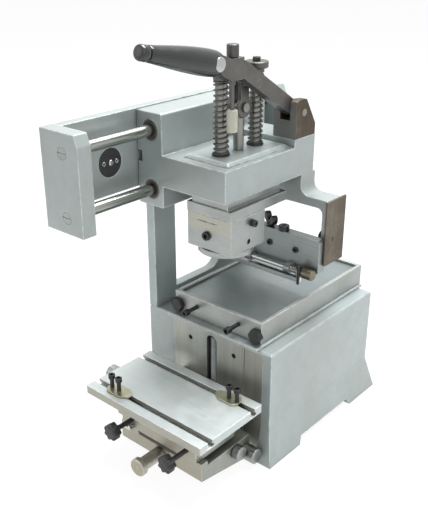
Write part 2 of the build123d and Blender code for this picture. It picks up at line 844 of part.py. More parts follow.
end_cap = extrude(Circle(grip_tip_radius * 0.98), amount=grip_cap_length)
end_cap = fillet(end_cap.edges().group_by(Axis.Z)[-1], 3)
end_cap = grip_plane(grip_length - grip_cap_length).location * end_cap
save(grip_body() + end_cap, "grip")
pin_y, pin_z = along_grip(grip_pin_inset)[1:]
pin_half = grip_root_radius * 0.97
grip_pin = bar_x(tang_radius * 0.6, lever_x - 10, lever_x + 10, pin_y, pin_z)
for side in (-1, 1):
    ends = sorted((lever_x + side * 10, lever_x + side * pin_half))
    grip_pin += bar_x(grip_pin_radius, ends[0], ends[1], pin_y, pin_z)

# Cross pin from the arm through both link plates
link_out = tongue_thickness / 2 + slide_gap + link_plate
cross_pin = bar_x(link_pin_radius, -link_out - 1, arm_right, post_middle, link_pin_z)
save(Compound([cross_pin, grip_pin]), "lever_cross_pins")

# Stop screw with its knob, and the nylon foot on its end
knob = bar_z(stop_knob_radius, lever_x, stop_y, stop_boss_top + slide_gap, stop_boss_top + stop_knob_height)
knob = chamfer(knob.edges().filter_by(GeomType.CIRCLE), 0.8)
foot_top = stop_foot_bottom + stop_foot_height
stop_screw = knob + bar_z(stop_screw_radius, lever_x, stop_y, stop_boss_bottom - 6, stop_boss_top + 2)
stop_screw += bar_z(stop_thread_radius, lever_x, stop_y, foot_top - stop_foot_grip, stop_boss_bottom - 6)
save(stop_screw, "stop_screw")
foot = bar_z(stop_foot_radius, lever_x, stop_y, stop_foot_bottom, foot_top)
foot = fillet(foot.edges().filter_by(GeomType.CIRCLE), 1.2)
save(foot - bar_z(stop_thread_radius, lever_x, stop_y, foot_top - stop_foot_grip, foot_top + 1), "stop_foot")


# Posts, push rod and links of the pad head
def guide_post(y):
    return bar_z(post_radius, 0, y, flange_bottom, cap_hub_bottom)


save(Compound([guide_post(y) for y in (post_front, post_back)]), "guide_posts")
link_low_z = link_pin_z - link_drop


def push_rod():
    tongue_bottom = link_low_z - tongue_depth
    solid = bar_z(push_rod_radius, 0, post_middle, flange_bottom, tongue_bottom)
    half = tongue_thickness / 2
    reach = push_rod_radius
    solid += block(-half, half, post_middle - reach, post_middle + reach, tongue_bottom - 12, link_low_z)
    solid += bar_x(reach, -half, half, post_middle, link_low_z)
    pin_out = link_out + 3
    return solid + bar_x(link_pin_low_radius, -pin_out, pin_out, post_middle, link_low_z)


save(push_rod(), "push_rod")


def link(side):
    inner_x = tongue_thickness / 2 + slide_gap
    x0, x1 = sorted((side * inner_x, side * (inner_x + link_plate)))
    solid = bar_x(link_eye_low, x0, x1, post_middle, link_low_z)
    solid += bar_x(link_eye_high, x0, x1, post_middle, link_pin_z)
    web = link_eye_high * 0.8
    solid += block(x0, x1, post_middle - web, post_middle + web, link_low_z, link_pin_z)
    solid -= bar_x(link_pin_low_radius + run_gap, x0 - 1, x1 + 1, post_middle, link_low_z)
    return solid - bar_x(link_pin_radius + open_gap, x0 - 1, x1 + 1, post_middle, link_pin_z)


save(Compound([link(-1), link(1)]), "link_plates")


# Post springs: one unbroken wire each
def helix_point(angle, z0, pitch, y):
    height = z0 + pitch * angle / (2 * pi)
    return Vector(spring_radius * cos(angle), y + spring_radius * sin(angle), height)


def helix_tangent(angle, pitch):
    return Vector(-spring_radius * sin(angle), spring_radius * cos(angle), pitch / (2 * pi)).normalized()


def biarc(p0, t0, p1, t1):
    """Two arcs that leave p0 along t0 and reach p1 along t1."""
    v = p1 - p0
    t = t0 + t1
    a = 2 * (1 - t0.dot(t1))
    b = 2 * v.dot(t)
    d = (-b + sqrt(b * b + 4 * a * v.dot(v))) / (2 * a)
    joint = (p0 + t0 * d + p1 - t1 * d) * 0.5
    first = Edge.make_tangent_arc(p0, t0, joint)
    second = Edge.make_tangent_arc(p1, -t1, joint)
    return [first, second]


def post_spring(y):
    z0 = head_plate_top + spring_wire / 2 + slide_gap
    z1 = cap_hub_bottom - spring_wire / 2 - slide_gap
    pitch = (z1 - z0) / spring_turns
    edges = []
    for k in range(2 * spring_turns):
        a0, a1 = k * pi, (k + 1) * pi
        edges += biarc(helix_point(a0, z0, pitch, y), helix_tangent(a0, pitch),
                       helix_point(a1, z0, pitch, y), helix_tangent(a1, pitch))
    path = Wire(edges)
    start = Plane(origin=helix_point(0, z0, pitch, y), z_dir=helix_tangent(0, pitch))
    return sweep(start * Circle(spring_wire / 2), path=path), pitch


springs = [post_spring(y) for y in (post_front, post_back)]
save(Compound([s for s, pitch in springs]), "post_springs")


def spring_gap(y, pitch):
    """Least gap between the wire and the next turn, measured on points."""
    steps = 24
    points = [helix_point(2 * pi * k / steps, 0, pitch, y) for k in range(3 * steps)]
    gaps = [(points[j] - points[i]).length for i in range(steps) for j in range(i + steps // 2, len(points))]
    return min(gaps) - spring_wire


print("least spring gap", round(spring_gap(post_front, springs[0][1]), 2))


# Caps on the posts and the bolts through them
def post_cap(y):
    solid = bar_z(cap_hub_radius, 0, y, cap_hub_bottom, cap_bottom)
    disc = bar_z(cap_radius, 0, y, cap_bottom, cap_bottom + cap_thickness)
    return solid + chamfer(disc.edges().filter_by(GeomType.CIRCLE), 1.0)


def cap_bolt(y):
    return Pos(0, y, cap_bottom + cap_thickness) * hexagon(cap_bolt_flats, cap_bolt_head)


save(Compound([post_cap(y) for y in (post_front, post_back)]), "post_caps")
save(Compound([cap_bolt(y) for y in (post_front, post_back)]), "cap_bolts")


# Head flange with the narrower slide plate on it
def head_flange():
    top = head_bottom - head_gap
    solid = block(-flange_half_width, flange_half_width, flange_front, flange_back, flange_bottom, flange_top)
    solid += block(-slide_plate_half_width, slide_plate_half_width, slide_plate_front, slide_plate_back,
                   flange_top, top)
    for y in (post_front, post_back):
        solid -= bar_z(post_radius, 0, y, flange_bottom - 1, top + 1)
    return solid - bar_z(push_rod_radius, 0, post_middle, flange_bottom - 1, top + 1)


save(head_flange(), "head_flange")
block_mid = (pad_block_front + pad_block_back) / 2
block_low = pad_block_bottom


def pad_block():
    right = flange_half_width
    solid = block(-right, right, pad_block_front, pad_block_back, block_low, flange_bottom)
    solid = chamfer(solid.edges().filter_by(Axis.Z), 1.0)
    solid -= bar_z(spigot_radius + run_gap, 0, block_mid, block_low - 1, block_low + spigot_height)
    solid -= bar_y(front_screw_radius, front_screw_x, pad_block_front - 1, pad_block_front + 9, front_screw_z)
    solid -= bar_x(side_screw_radius, right - 9, right + 1, side_screw_y, side_screw_z)
    solid -= bar_x(side_screw_radius, right - 9, right + 1, lock_hole_y, lock_hole_z)
    slit = block(-22, 14, pad_block_front - 1, pad_block_front + 1, block_slit_z, block_slit_z + 1)
    return solid - slit


save(pad_block(), "pad_block")
screw_y = (pad_block_front - front_screw_reach, pad_block_front + 9)
front_screw = bar_y(front_screw_radius, front_screw_x, screw_y[0], screw_y[1], front_screw_z)
socket = Pos(front_screw_x, screw_y[0] + 4, front_screw_z) * Rot(90, 0, 0)
front_screw -= socket * hexagon(front_screw_radius, 5)
side_screw = bar_x(side_screw_radius, flange_half_width - 9, flange_half_width, side_screw_y, side_screw_z)
side_head = socket_cap(side_screw_radius + 1, side_screw_reach, side_screw_radius)
side_screw += Pos(flange_half_width, side_screw_y, side_screw_z) * Rot(0, 90, 0) * side_head
save(Compound([front_screw, side_screw]), "pad_block_screws")

# Turntable disc that carries the pad, bored for the pad's screw
disc_high = block_low - slide_gap
disc = bar_z(disc_radius, 0, block_mid, disc_high - disc_thickness, disc_high)
disc = chamfer(disc.edges().filter_by(GeomType.CIRCLE), 1.0)
disc += bar_z(spigot_radius, 0, block_mid, disc_high, block_low + spigot_height - slide_gap)
disc -= bar_z(pad_screw_radius, 0, block_mid, disc_high - disc_thickness - 1, block_low + 8)
save(disc, "pad_turntable")


# Doctor blade carrier, its screws and the blade
carrier_front = arm_front - carrier_thickness
blade_y = carrier_front + blade_inset


def blade_carrier():
    solid = block(carrier_left, carrier_right, carrier_front, arm_front, carrier_bottom, carrier_top)
    corner = edges_at(solid, Axis.Y, (carrier_right, -999, carrier_top), (carrier_right, 999, carrier_top))
    solid = chamfer(corner, 3)
    solid -= block(blade_left, blade_right, blade_y, blade_y + blade_thickness, carrier_bottom - 1,
                   carrier_bottom + blade_grip)
    low = flood_pivot_z - lug_round
    high = flood_pivot_z + lug_round
    for x in (lug_left, lug_right):
        solid += block(x, x + lug_thickness, flood_pivot_y, carrier_front, low, high)
        solid += bar_x(lug_round, x, x + lug_thickness, flood_pivot_y, flood_pivot_z)
        bore = flood_pivot_radius + run_gap
        solid -= bar_x(bore, x - 1, x + lug_thickness + 1, flood_pivot_y, flood_pivot_z)
    for x in (carrier_screw_left, carrier_screw_right):
        solid -= bar_y(carrier_screw_radius, x, carrier_front - 1, carrier_front + 3, carrier_screw_z)
    wing_low = carrier_top - wing_depth - slide_gap
    solid -= bar_z(wing_radius + run_gap, wing_x, carrier_mid, wing_low, carrier_top + 1)
    cap_low = carrier_top - cap_screw_depth
    return solid - bar_z(cap_screw_radius, cap_screw_x, cap_screw_y, cap_low, carrier_top + 1)


save(blade_carrier(), "blade_carrier")


def carrier_screw(x):
    front = carrier_front - carrier_screw_head
    screw = bar_y(carrier_screw_radius, x, front, carrier_front + 3, carrier_screw_z)
    return screw - Pos(x, front + 3, carrier_screw_z) * Rot(90, 0, 0) * hexagon(carrier_screw_radius, 4)


save(Compound([carrier_screw(x) for x in (carrier_screw_left, carrier_screw_right)]), "carrier_screws")
blade = block(blade_left, blade_right, blade_y, blade_y + blade_thickness, blade_bottom,
              carrier_bottom + blade_grip)
save(blade, "doctor_blade")


# Wing screw in the carrier's top edge
def wing_screw():
    solid = bar_z(wing_radius, wing_x, carrier_mid, carrier_top - wing_depth, carrier_top + slide_gap)
    solid += bar_z(wing_radius * 1.8, wing_x, carrier_mid, carrier_top + slide_gap, carrier_top + 10)
    for side in (-1, 1):
        tip = side * wing_reach
        ear = plate_y([(0, 3), (tip * 0.5, 5), (tip, 14), (tip * 0.85, 19), (tip * 0.45, 19), (0, 10)], -2, 2)
        solid += Pos(wing_x, carrier_mid, carrier_top) * Rot(0, 0, wing_turn) * ear
    return solid


save(wing_screw(), "wing_screw")


# Flood bar hung on two arms from its pivot shaft, with the adjusting knob
def flood_bar():
    y = flood_pivot_y
    half = flood_bar_depth / 2
    low, high = flood_bar_bottom, flood_bar_bottom + flood_bar_height
    step = low + flood_lip_height
    solid = block(flood_bar_left, flood_bar_right, y - half, y + half, step, high)
    solid += block(flood_bar_left, flood_bar_right, y + half - flood_lip_depth, y + half, low, step)
    for x in flood_arm_x():
        solid -= bar_z(flood_arm_radius, x, y, step - 1, high + 1)
    return solid


def flood_arm_x():
    inset = flood_arm_radius + 1
    return (flood_bar_left + inset, flood_bar_right + inset * -1)


def flood_shaft():
    y, z = flood_pivot_y, flood_pivot_z
    left, right = flood_arm_x()
    solid = bar_x(flood_pivot_radius, left - 5, flood_knob_left, y, z)
    for x in (left, right):
        solid += bar_z(flood_arm_radius, x, y, flood_bar_bottom + flood_lip_height - 1, z)
        solid += bar_z(flood_arm_radius * 1.4, x, y, z - 6, z + 6)
    return solid


save(flood_bar(), "flood_bar")
save(flood_shaft(), "flood_shaft")
flood_knob_right = flood_knob_left + flood_knob_length
knob = bar_x(flood_knob_radius, flood_knob_left, flood_knob_right, flood_pivot_y, flood_pivot_z)
save(chamfer(knob.edges().filter_by(GeomType.CIRCLE), 1.0), "flood_knob")


# Knee: slide plate on the guide, bracket under the saddle and the lead screw nut
slide_back = guide_front - slide_gap
slide_front = slide_back - slide_thickness
knee_left = knee_x - knee_half_width
knee_right = knee_x + knee_half_width


def knee():
    outline = [(knee_front, knee_nose), (knee_front, knee_top), (slide_front, knee_top),
               (slide_front, knee_heel)]
    solid = plate_x(outline, knee_left, knee_right)
    solid += block(guide_x - slide_half_width, guide_x + slide_half_width, slide_front, slide_back,
                   knee_heel, slide_top)
    ear_top = saddle_bottom - slide_gap
    ear_back = knee_front + ear_depth
    solid += block(knee_left, knee_left + ear_left_width, knee_front, ear_back, knee_top, ear_top)
    solid += block(knee_right - ear_right_width, knee_right, knee_front, ear_back, knee_top, ear_top)
    half = nut_half_width
    nut_back = lead_y + lead_screw_radius + 2
    solid += block(guide_x - half, guide_x + half, slide_back, nut_back, nut_bottom, nut_bottom + nut_height)
    solid -= bar_z(lead_screw_radius + run_gap, guide_x, lead_y, nut_bottom - 1, nut_bottom + nut_height + 1)
    bore_end = knee_front + cross_screw_depth + 1
    solid -= bar_y(cross_screw_radius + run_gap, cross_screw_x, knee_front - 1, bore_end, cross_screw_z)
    for y, z in ((side_knob_y, side_knob_z), (small_knob_y, small_knob_z)):
        solid -= bar_x(knob_shaft_radius + run_gap, knee_right - knob_shaft_depth, knee_right + 1, y, z)
    return solid


save(knee(), "knee")


def turned_knob(radius, length, shaft_depth):
    """Plain turned knob along X with its shaft behind the face at X = 0."""
    gap = slide_gap
    head = bar_x(radius, gap, gap + length, 0, 0)
    head = chamfer(head.edges().filter_by(GeomType.CIRCLE), 1.2)
    return head + bar_x(knob_shaft_radius, -shaft_depth + gap, gap, 0, 0)


height_knob = turned_knob(side_knob_radius, side_knob_length, knob_shaft_depth)
save(Pos(knee_right, side_knob_y, side_knob_z) * height_knob, "height_lock_knob")
lock_knob = turned_knob(small_knob_radius, small_knob_length, knob_shaft_depth)
save(Pos(knee_right, small_knob_y, small_knob_z) * lock_knob, "knee_lock_knob")


# Saddle on the knee, with its dovetail foot
def saddle():
    left, right = saddle_x - saddle_half_width, saddle_x + saddle_half_width
    solid = block(left, right, saddle_front, saddle_back, saddle_bottom, saddle_top)
    solid += bar_x(saddle_boss_radius, left - saddle_boss_length, left, saddle_boss_y, saddle_boss_z)
    half = dovetail_half_width
    foot_low = knee_top + slide_gap
    solid += block(saddle_x - half, saddle_x + half, dovetail_front, saddle_back, foot_low, saddle_bottom)
    bore = front_knob_shaft_radius + run_gap
    for x in (front_knob_left, front_knob_right):
        solid -= bar_y(bore, x, saddle_front - 1, saddle_front + 16, front_knob_z)
    return solid


save(saddle(), "saddle")


def front_knob(x):
    y = saddle_front - front_knob_reach
    head = bar_y(front_knob_radius, x, y - front_knob_length, y, front_knob_z)
    head = fillet(head.edges().filter_by(GeomType.CIRCLE), 2.5)
    ring = front_knob_radius + 1.6
    for k in range(front_knob_flutes):
        turn = 2 * pi * k / front_knob_flutes
        flute_z = front_knob_z + ring * sin(turn)
        head -= bar_y(3.2, x + ring * cos(turn), y - front_knob_length - 1, y + 1, flute_z)
    return head + bar_y(front_knob_shaft_radius, x, y, saddle_front + 14, front_knob_z)


save(front_knob(front_knob_left), "front_knob_left")
save(front_knob(front_knob_right), "front_knob_right")

# Cross lead screw in the knee with its stepped knob
cross_x = cross_screw_x
cross_end = knee_front + cross_screw_depth
cross = bar_y(cross_screw_radius, cross_x, knee_front - slide_gap, cross_end, cross_screw_z)
neck_front = knee_front - slide_gap - cross_neck_length
cross += bar_y(cross_neck_radius, cross_x, neck_front, knee_front - slide_gap, cross_screw_z)
rim = bar_y(cross_knob_radius, cross_x, neck_front - cross_knob_length, neck_front, cross_screw_z)
cross += chamfer(rim.edges().filter_by(GeomType.CIRCLE), 1.0)
save(cross, "cross_screw_knob")

# Table slide under the top, bored for its lead screw
slide_low = saddle_top + slide_gap
under_y0 = table_front + under_front_inset
under_y1 = table_back - under_back_inset
screw_mid_z = (slide_low + table_under) / 2
table_slide = block(-under_half_width, under_half_width, under_y0, under_y1, slide_low, table_under)
table_slide -= bar_x(end_screw_radius + run_gap, -under_half_width - 1, end_screw_length - under_half_width,
                     end_screw_y, screw_mid_z)
save(table_slide, "table_slide")


def table_slot(y):
    """T-slot along X, open at both ends."""
    reach = table_half_width + 1
    neck = block(-reach, reach, y - slot_width / 2, y + slot_width / 2, table_top - slot_neck, table_top + 1)
    tee_low = table_top - slot_neck - slot_tee_depth
    tee = block(-reach, reach, y - slot_tee_width / 2, y + slot_tee_width / 2, tee_low, table_top - slot_neck)
    return neck + tee


slot_y = (table_front + slot_inset + slot_width / 2, table_back - slot_inset - slot_width / 2)


def table_plate():
    solid = block(-table_half_width, table_half_width, table_front, table_back, table_under, table_top)
    solid = chamfer(solid.edges().filter_by(Axis.Z), 1.0)
    for y in slot_y:
        solid -= table_slot(y)
    return solid


save(table_plate(), "table_top")
end_right = -table_half_width - end_knob_gap
end_knob = bar_x(end_knob_radius, end_right - end_knob_length, end_right, end_screw_y, screw_mid_z)
end_knob = chamfer(end_knob.edges().filter_by(GeomType.CIRCLE), 1.2)
end_back = end_screw_length - under_half_width - slide_gap
end_knob += bar_x(end_screw_radius, end_right, end_back, end_screw_y, screw_mid_z)
save(end_knob, "table_screw_knob")


# T-slot clamps with a nose, two screws and their T-nut
def clamp_plate(x, y, turn):
    low, high, wide = -clamp_heel, clamp_length - clamp_heel, clamp_width / 2
    outline = [(low + 6, -wide), (high - clamp_nose, -wide), (high, -wide * 0.25), (high, wide * 0.25),
               (high - clamp_nose, wide), (low + 6, wide), (low, wide * 0.4), (low, -wide * 0.4)]
    solid = plate_z(outline, table_top, table_top + clamp_thickness)
    for side in (-1, 1):
        solid -= bar_z(clamp_screw_radius, side * clamp_screw_pitch / 2, 0, table_top - 1,
                       table_top + clamp_thickness + 1)
    return Pos(x, y, 0) * Rot(0, 0, turn) * solid


def clamp_screws(x, y):
    pieces = []
    nut_high = table_top - slot_neck - slide_gap
    nut_low = nut_high - slot_tee_depth + 2 * slide_gap
    for side in (-1, 1):
        sx = x + side * clamp_screw_pitch / 2
        high = table_top + clamp_thickness + clamp_screw_height
        shank = bar_z(clamp_screw_radius, sx, y, nut_low, high)
        head = socket_cap(clamp_screw_head_radius, clamp_screw_head, clamp_screw_radius * 1.6)
        pieces.append(shank + Pos(sx, y, high) * head)
    return pieces


def clamp_nut(x, y):
    nut_high = table_top - slot_neck - slide_gap
    nut_low = nut_high - slot_tee_depth + 2 * slide_gap
    half_x = clamp_length * 0.35
    half_y = slot_tee_width / 2 - slide_gap
    solid = block(x - half_x, x + half_x, y - half_y, y + half_y, nut_low, nut_high)
    for side in (-1, 1):
        solid -= bar_z(clamp_screw_radius, x + side * clamp_screw_pitch / 2, y, nut_low - 1, nut_high + 1)
    return solid


for side, x, y, turn in (("left", clamp_left_x, slot_y[0], 0), ("right", clamp_right_x, slot_y[1], 180)):
    save(clamp_plate(x, y, turn), "clamp_plate_" + side)
    save(Compound(clamp_screws(x, y) + [clamp_nut(x, y)]), "clamp_screws_" + side)
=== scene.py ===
import math
import bmesh
import bpy
from mathutils import Matrix, Vector


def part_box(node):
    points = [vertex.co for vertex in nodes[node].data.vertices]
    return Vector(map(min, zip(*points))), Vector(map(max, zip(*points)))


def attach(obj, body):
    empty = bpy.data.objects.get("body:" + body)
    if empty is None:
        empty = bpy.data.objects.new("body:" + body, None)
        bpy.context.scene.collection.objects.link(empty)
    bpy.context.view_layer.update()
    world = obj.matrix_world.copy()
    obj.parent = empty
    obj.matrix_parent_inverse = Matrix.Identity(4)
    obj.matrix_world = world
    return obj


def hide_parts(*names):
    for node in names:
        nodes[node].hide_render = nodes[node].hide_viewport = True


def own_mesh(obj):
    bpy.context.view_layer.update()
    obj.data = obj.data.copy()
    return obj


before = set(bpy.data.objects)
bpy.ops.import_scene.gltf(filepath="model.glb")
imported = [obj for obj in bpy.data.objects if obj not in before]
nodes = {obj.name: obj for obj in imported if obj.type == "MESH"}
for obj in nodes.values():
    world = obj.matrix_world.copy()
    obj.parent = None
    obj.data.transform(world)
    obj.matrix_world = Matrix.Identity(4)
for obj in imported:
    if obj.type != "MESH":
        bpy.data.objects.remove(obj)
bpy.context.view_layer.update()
print("frame loaded with", len(nodes), "CAD nodes")

# Sizes are in metres. Places are given from the pad's axis across and from the middle of the base's depth
padAxisX = 0.0115
baseMiddleY = 0.0805


def place(x, y, z):
    return Vector((padAxisX + x, baseMiddleY + y, z))


# Small helpers for shader trees
def setInput(tree, socket, value):
    if isinstance(value, bpy.types.NodeSocket):
        tree.links.new(value, socket)
    else:
        socket.default_value = value


def addNode(tree, kind, inputs=None, **settings):
    node = tree.nodes.new(kind)
    for key, value in settings.items():
        setattr(node, key, value)
    for key, value in (inputs or {}).items():
        setInput(tree, node.inputs[key], value)
    return node


def addMath(tree, operation, first, second=0.0, third=0.0, clamp=False):
    return addNode(tree, "ShaderNodeMath", {0: first, 1: second, 2: third}, operation=operation,
                   use_clamp=clamp).outputs[0]


def addRange(tree, value, low, high, newLow=0.0, newHigh=1.0):
    return addNode(tree, "ShaderNodeMapRange", {"Value": value, "From Min": low, "From Max": high,
                                                "To Min": newLow, "To Max": newHigh}).outputs["Result"]


def addNoise(tree, where, scale, detail, **more):
    return addNode(tree, "ShaderNodeTexNoise", {"Vector": where, "Scale": scale, "Detail": detail,
                                                **more}).outputs["Fac"]


def addMix(tree, factor, first, second):
    mix = tree.nodes.new("ShaderNodeMix")
    mix.data_type = "RGBA"
    for index, value in ((0, factor), (6, first), (7, second)):  # sockets 6 and 7 take the two colours
        setInput(tree, mix.inputs[index], value)
    return mix.outputs[2]


def objectSpace(tree):
    return addNode(tree, "ShaderNodeTexCoord").outputs["Object"]


def newGroup(name, inputs, outputs):
    group = bpy.data.node_groups.new(name, "ShaderNodeTree")
    for socketName, kind, value in inputs:
        socket = group.interface.new_socket(socketName, in_out="INPUT", socket_type=kind)
        socket.default_value = value
    for socketName, kind in outputs:
        group.interface.new_socket(socketName, in_out="OUTPUT", socket_type=kind)
    entry = group.nodes.new("NodeGroupInput")
    leave = group.nodes.new("NodeGroupOutput")
    return group, entry.outputs, leave.inputs


floatSocket, vectorSocket = "NodeSocketFloat", "NodeSocketVector"

# Edges: a rounded normal, and a mask along them where the paint or the oil has rubbed off, which also
# carries a painted highlight
edgeTuning = {"samples": 6, "patchDetail": 4.0, "patchRange": (0.3, 0.55)}


def makeEdgeGroup():
    group, given, out = newGroup(
        "edge wear", [("Radius", floatSocket, 0.001), ("Patchiness", floatSocket, 60.0),
                      ("Low", floatSocket, 0.04), ("High", floatSocket, 0.3)],
        [("Mask", floatSocket), ("Normal", vectorSocket)])
    link = group.links.new
    rounded = addNode(group, "ShaderNodeBevel", {"Radius": given["Radius"]},
                      samples=edgeTuning["samples"]).outputs["Normal"]
    plain = addNode(group, "ShaderNodeNewGeometry").outputs["Normal"]
    agree = addNode(group, "ShaderNodeVectorMath", {0: rounded, 1: plain}, operation="DOT_PRODUCT")
    turned = addMath(group, "SUBTRACT", 1.0, agree.outputs["Value"])
    edge = addRange(group, turned, given["Low"], given["High"])
    patches = addNoise(group, objectSpace(group), given["Patchiness"], edgeTuning["patchDetail"])
    broken = addRange(group, patches, *edgeTuning["patchRange"])
    link(addMath(group, "MULTIPLY", edge, broken, clamp=True), out["Mask"])
    link(rounded, out["Normal"])
    return group


# Grain: fine lines drawn out along the direction where Stretch is small
grainTuning = {"detail": 3.0, "fineRoughness": 0.6, "coarseShare": (0.09, 0.09, 0.09), "fineWeight": 0.6,
               "coarseWeight": 0.4, "toneRange": (0.3, 0.7), "streakRange": (0.35, 0.65)}


def makeGrainGroup():
    group, given, out = newGroup(
        "machined grain", [("Stretch", vectorSocket, (900.0, 900.0, 20.0))],
        [("Tone", floatSocket), ("Height", floatSocket), ("Streak", floatSocket)])
    link = group.links.new
    drawn = addNode(group, "ShaderNodeVectorMath", {0: objectSpace(group), 1: given["Stretch"]},
                    operation="MULTIPLY").outputs[0]
    wide = addNode(group, "ShaderNodeVectorMath", {0: drawn, 1: grainTuning["coarseShare"]},
                   operation="MULTIPLY").outputs[0]
    fine = addNoise(group, drawn, 1.0, grainTuning["detail"], Roughness=grainTuning["fineRoughness"])
    coarse = addNoise(group, wide, 1.0, grainTuning["detail"])
    both = addMath(group, "MULTIPLY_ADD", fine, grainTuning["fineWeight"],
                   addMath(group, "MULTIPLY", coarse, grainTuning["coarseWeight"]))
    link(addRange(group, both, *grainTuning["toneRange"]), out["Tone"])
    link(fine, out["Height"])
    link(addRange(group, coarse, *grainTuning["streakRange"]), out["Streak"])
    return group


# Clouds: slow stains, finger marks and oil film
cloudTuning = {"slowDetail": 5.0, "slowRange": (0.35, 0.65), "blotchTimes": 7.0, "blotchDetail": 6.0,
               "blotchRoughness": 0.65, "blotchRange": (0.4, 0.65)}


def makeCloudGroup():
    group, given, out = newGroup(
        "clouds", [("Scale", floatSocket, 12.0), ("Warp", floatSocket, 0.6)],
        [("Slow", floatSocket), ("Blotch", floatSocket)])
    link = group.links.new
    where = objectSpace(group)
    slow = addNoise(group, where, given["Scale"], cloudTuning["slowDetail"], Distortion=given["Warp"])
    quick = addMath(group, "MULTIPLY", given["Scale"], cloudTuning["blotchTimes"])
    blotch = addNoise(group, where, quick, cloudTuning["blotchDetail"],
                      Roughness=cloudTuning["blotchRoughness"])
    link(addRange(group, slow, *cloudTuning["slowRange"]), out["Slow"])
    link(addRange(group, blotch, *cloudTuning["blotchRange"]), out["Blotch"])
    return group


# Corner shade and grime: an occlusion mask darkens where two faces meet, partly grime and partly painted
# shade
grimeTuning = {"samples": 6, "cornerRange": (0.85, 0.35), "patchDetail": 4.0, "patchRange": (0.2, 0.6)}


def makeGrimeGroup():
    group, given, out = newGroup(
        "corner grime", [("Reach", floatSocket, 0.012), ("Patchiness", floatSocket, 35.0)],
        [("Mask", floatSocket)])
    shut = addNode(group, "ShaderNodeAmbientOcclusion", {"Distance": given["Reach"]},
                   samples=grimeTuning["samples"])
    corner = addRange(group, shut.outputs["AO"], *grimeTuning["cornerRange"])
    patches = addNoise(group, objectSpace(group), given["Patchiness"], grimeTuning["patchDetail"])
    broken = addRange(group, patches, *grimeTuning["patchRange"])
    group.links.new(addMath(group, "MULTIPLY", corner, broken, clamp=True), out["Mask"])
    return group


edgeGroup = makeEdgeGroup()
grainGroup = makeGrainGroup()
cloudGroup = makeCloudGroup()
grimeGroup = makeGrimeGroup()
print("shader groups built")


def useGroup(tree, group, **inputs):
    node = tree.nodes.new("ShaderNodeGroup")
    node.node_tree = group
    for key, value in inputs.items():
        node.inputs[key].default_value = value
    return node.outputs


def rgba(colour):
    return (colour[0], colour[1], colour[2], 1.0)


def addLayer(tree, under, over, mask, amount):
    return addMix(tree, addMath(tree, "MULTIPLY", mask, amount), under, rgba(over))


# Mask of the faces that look to the machine's front
def facingFront(tree, sideways=-0.5, straight=-0.9):
    normal = addNode(tree, "ShaderNodeTexCoord").outputs["Normal"]
    ahead = addNode(tree, "ShaderNodeSeparateXYZ", {0: normal}).outputs["Y"]
    return addRange(tree, ahead, sideways, straight)


def startMaterial(name):
    material = bpy.data.materials.new(name)
    material.use_nodes = True
    tree = material.node_tree
    return material, tree, tree.nodes["Principled BSDF"]


def finishSurface(tree, shader, colour, roughness, height, depth, normal):
    tree.links.new(colour, shader.inputs["Base Color"])
    tree.links.new(roughness, shader.inputs["Roughness"])
    bump = addNode(tree, "ShaderNodeBump", {"Height": height, "Normal": normal, "Strength": 1.0,
                                            "Distance": depth})
    tree.links.new(bump.outputs["Normal"], shader.inputs["Normal"])


# Sprayed enamel with a faint orange peel, rubbed thin along its edges and given a painted highlight there
paintTuning = {"warp": 0.4, "patchiness": 90.0, "wearLow": 0.01, "wearHigh": 0.14, "peelDetail": 2.0,
               "smoother": 0.05, "rougher": 0.08, "coatRoughness": 0.25}


def makePaint(name, look):
    material, tree, shader = startMaterial(name)
    clouds = useGroup(tree, cloudGroup, Scale=look["cloudScale"], Warp=paintTuning["warp"])
    edges = useGroup(tree, edgeGroup, Radius=look["edgeRadius"], Patchiness=paintTuning["patchiness"],
                     Low=paintTuning["wearLow"], High=paintTuning["wearHigh"])
    grime = useGroup(tree, grimeGroup, Reach=look["grimeReach"])
    colour = addMix(tree, clouds["Slow"], rgba(look["colour"]), rgba(look["lighter"]))
    colour = addLayer(tree, colour, look["darker"], clouds["Blotch"], look["blotch"])
    # painted corner shade and grime: a darker colour where faces meet
    colour = addLayer(tree, colour, look["dirt"], grime["Mask"], look["grime"])
    # lighter colour along the edges: wear together with a painted highlight
    colour = addLayer(tree, colour, look["edge"], edges["Mask"], look["wear"])
    peel = addNoise(tree, objectSpace(tree), look["peelScale"], paintTuning["peelDetail"])
    roughness = addRange(tree, clouds["Blotch"], 0.0, 1.0, look["roughness"] - paintTuning["smoother"],
                         look["roughness"] + paintTuning["rougher"])
    finishSurface(tree, shader, colour, roughness, peel, look["peelDepth"], edges["Normal"])
    shader.inputs["Metallic"].default_value = look["metallic"]
    shader.inputs["Coat Weight"].default_value = look["coat"]
    shader.inputs["Coat Roughness"].default_value = paintTuning["coatRoughness"]
    return material


# Bare, plated or blackened metal with its machining marks
metalTuning = {"patchiness": 150.0, "wearLow": 0.03, "wearHigh": 0.25, "grainShare": 0.5, "cloudShare": 0.5}


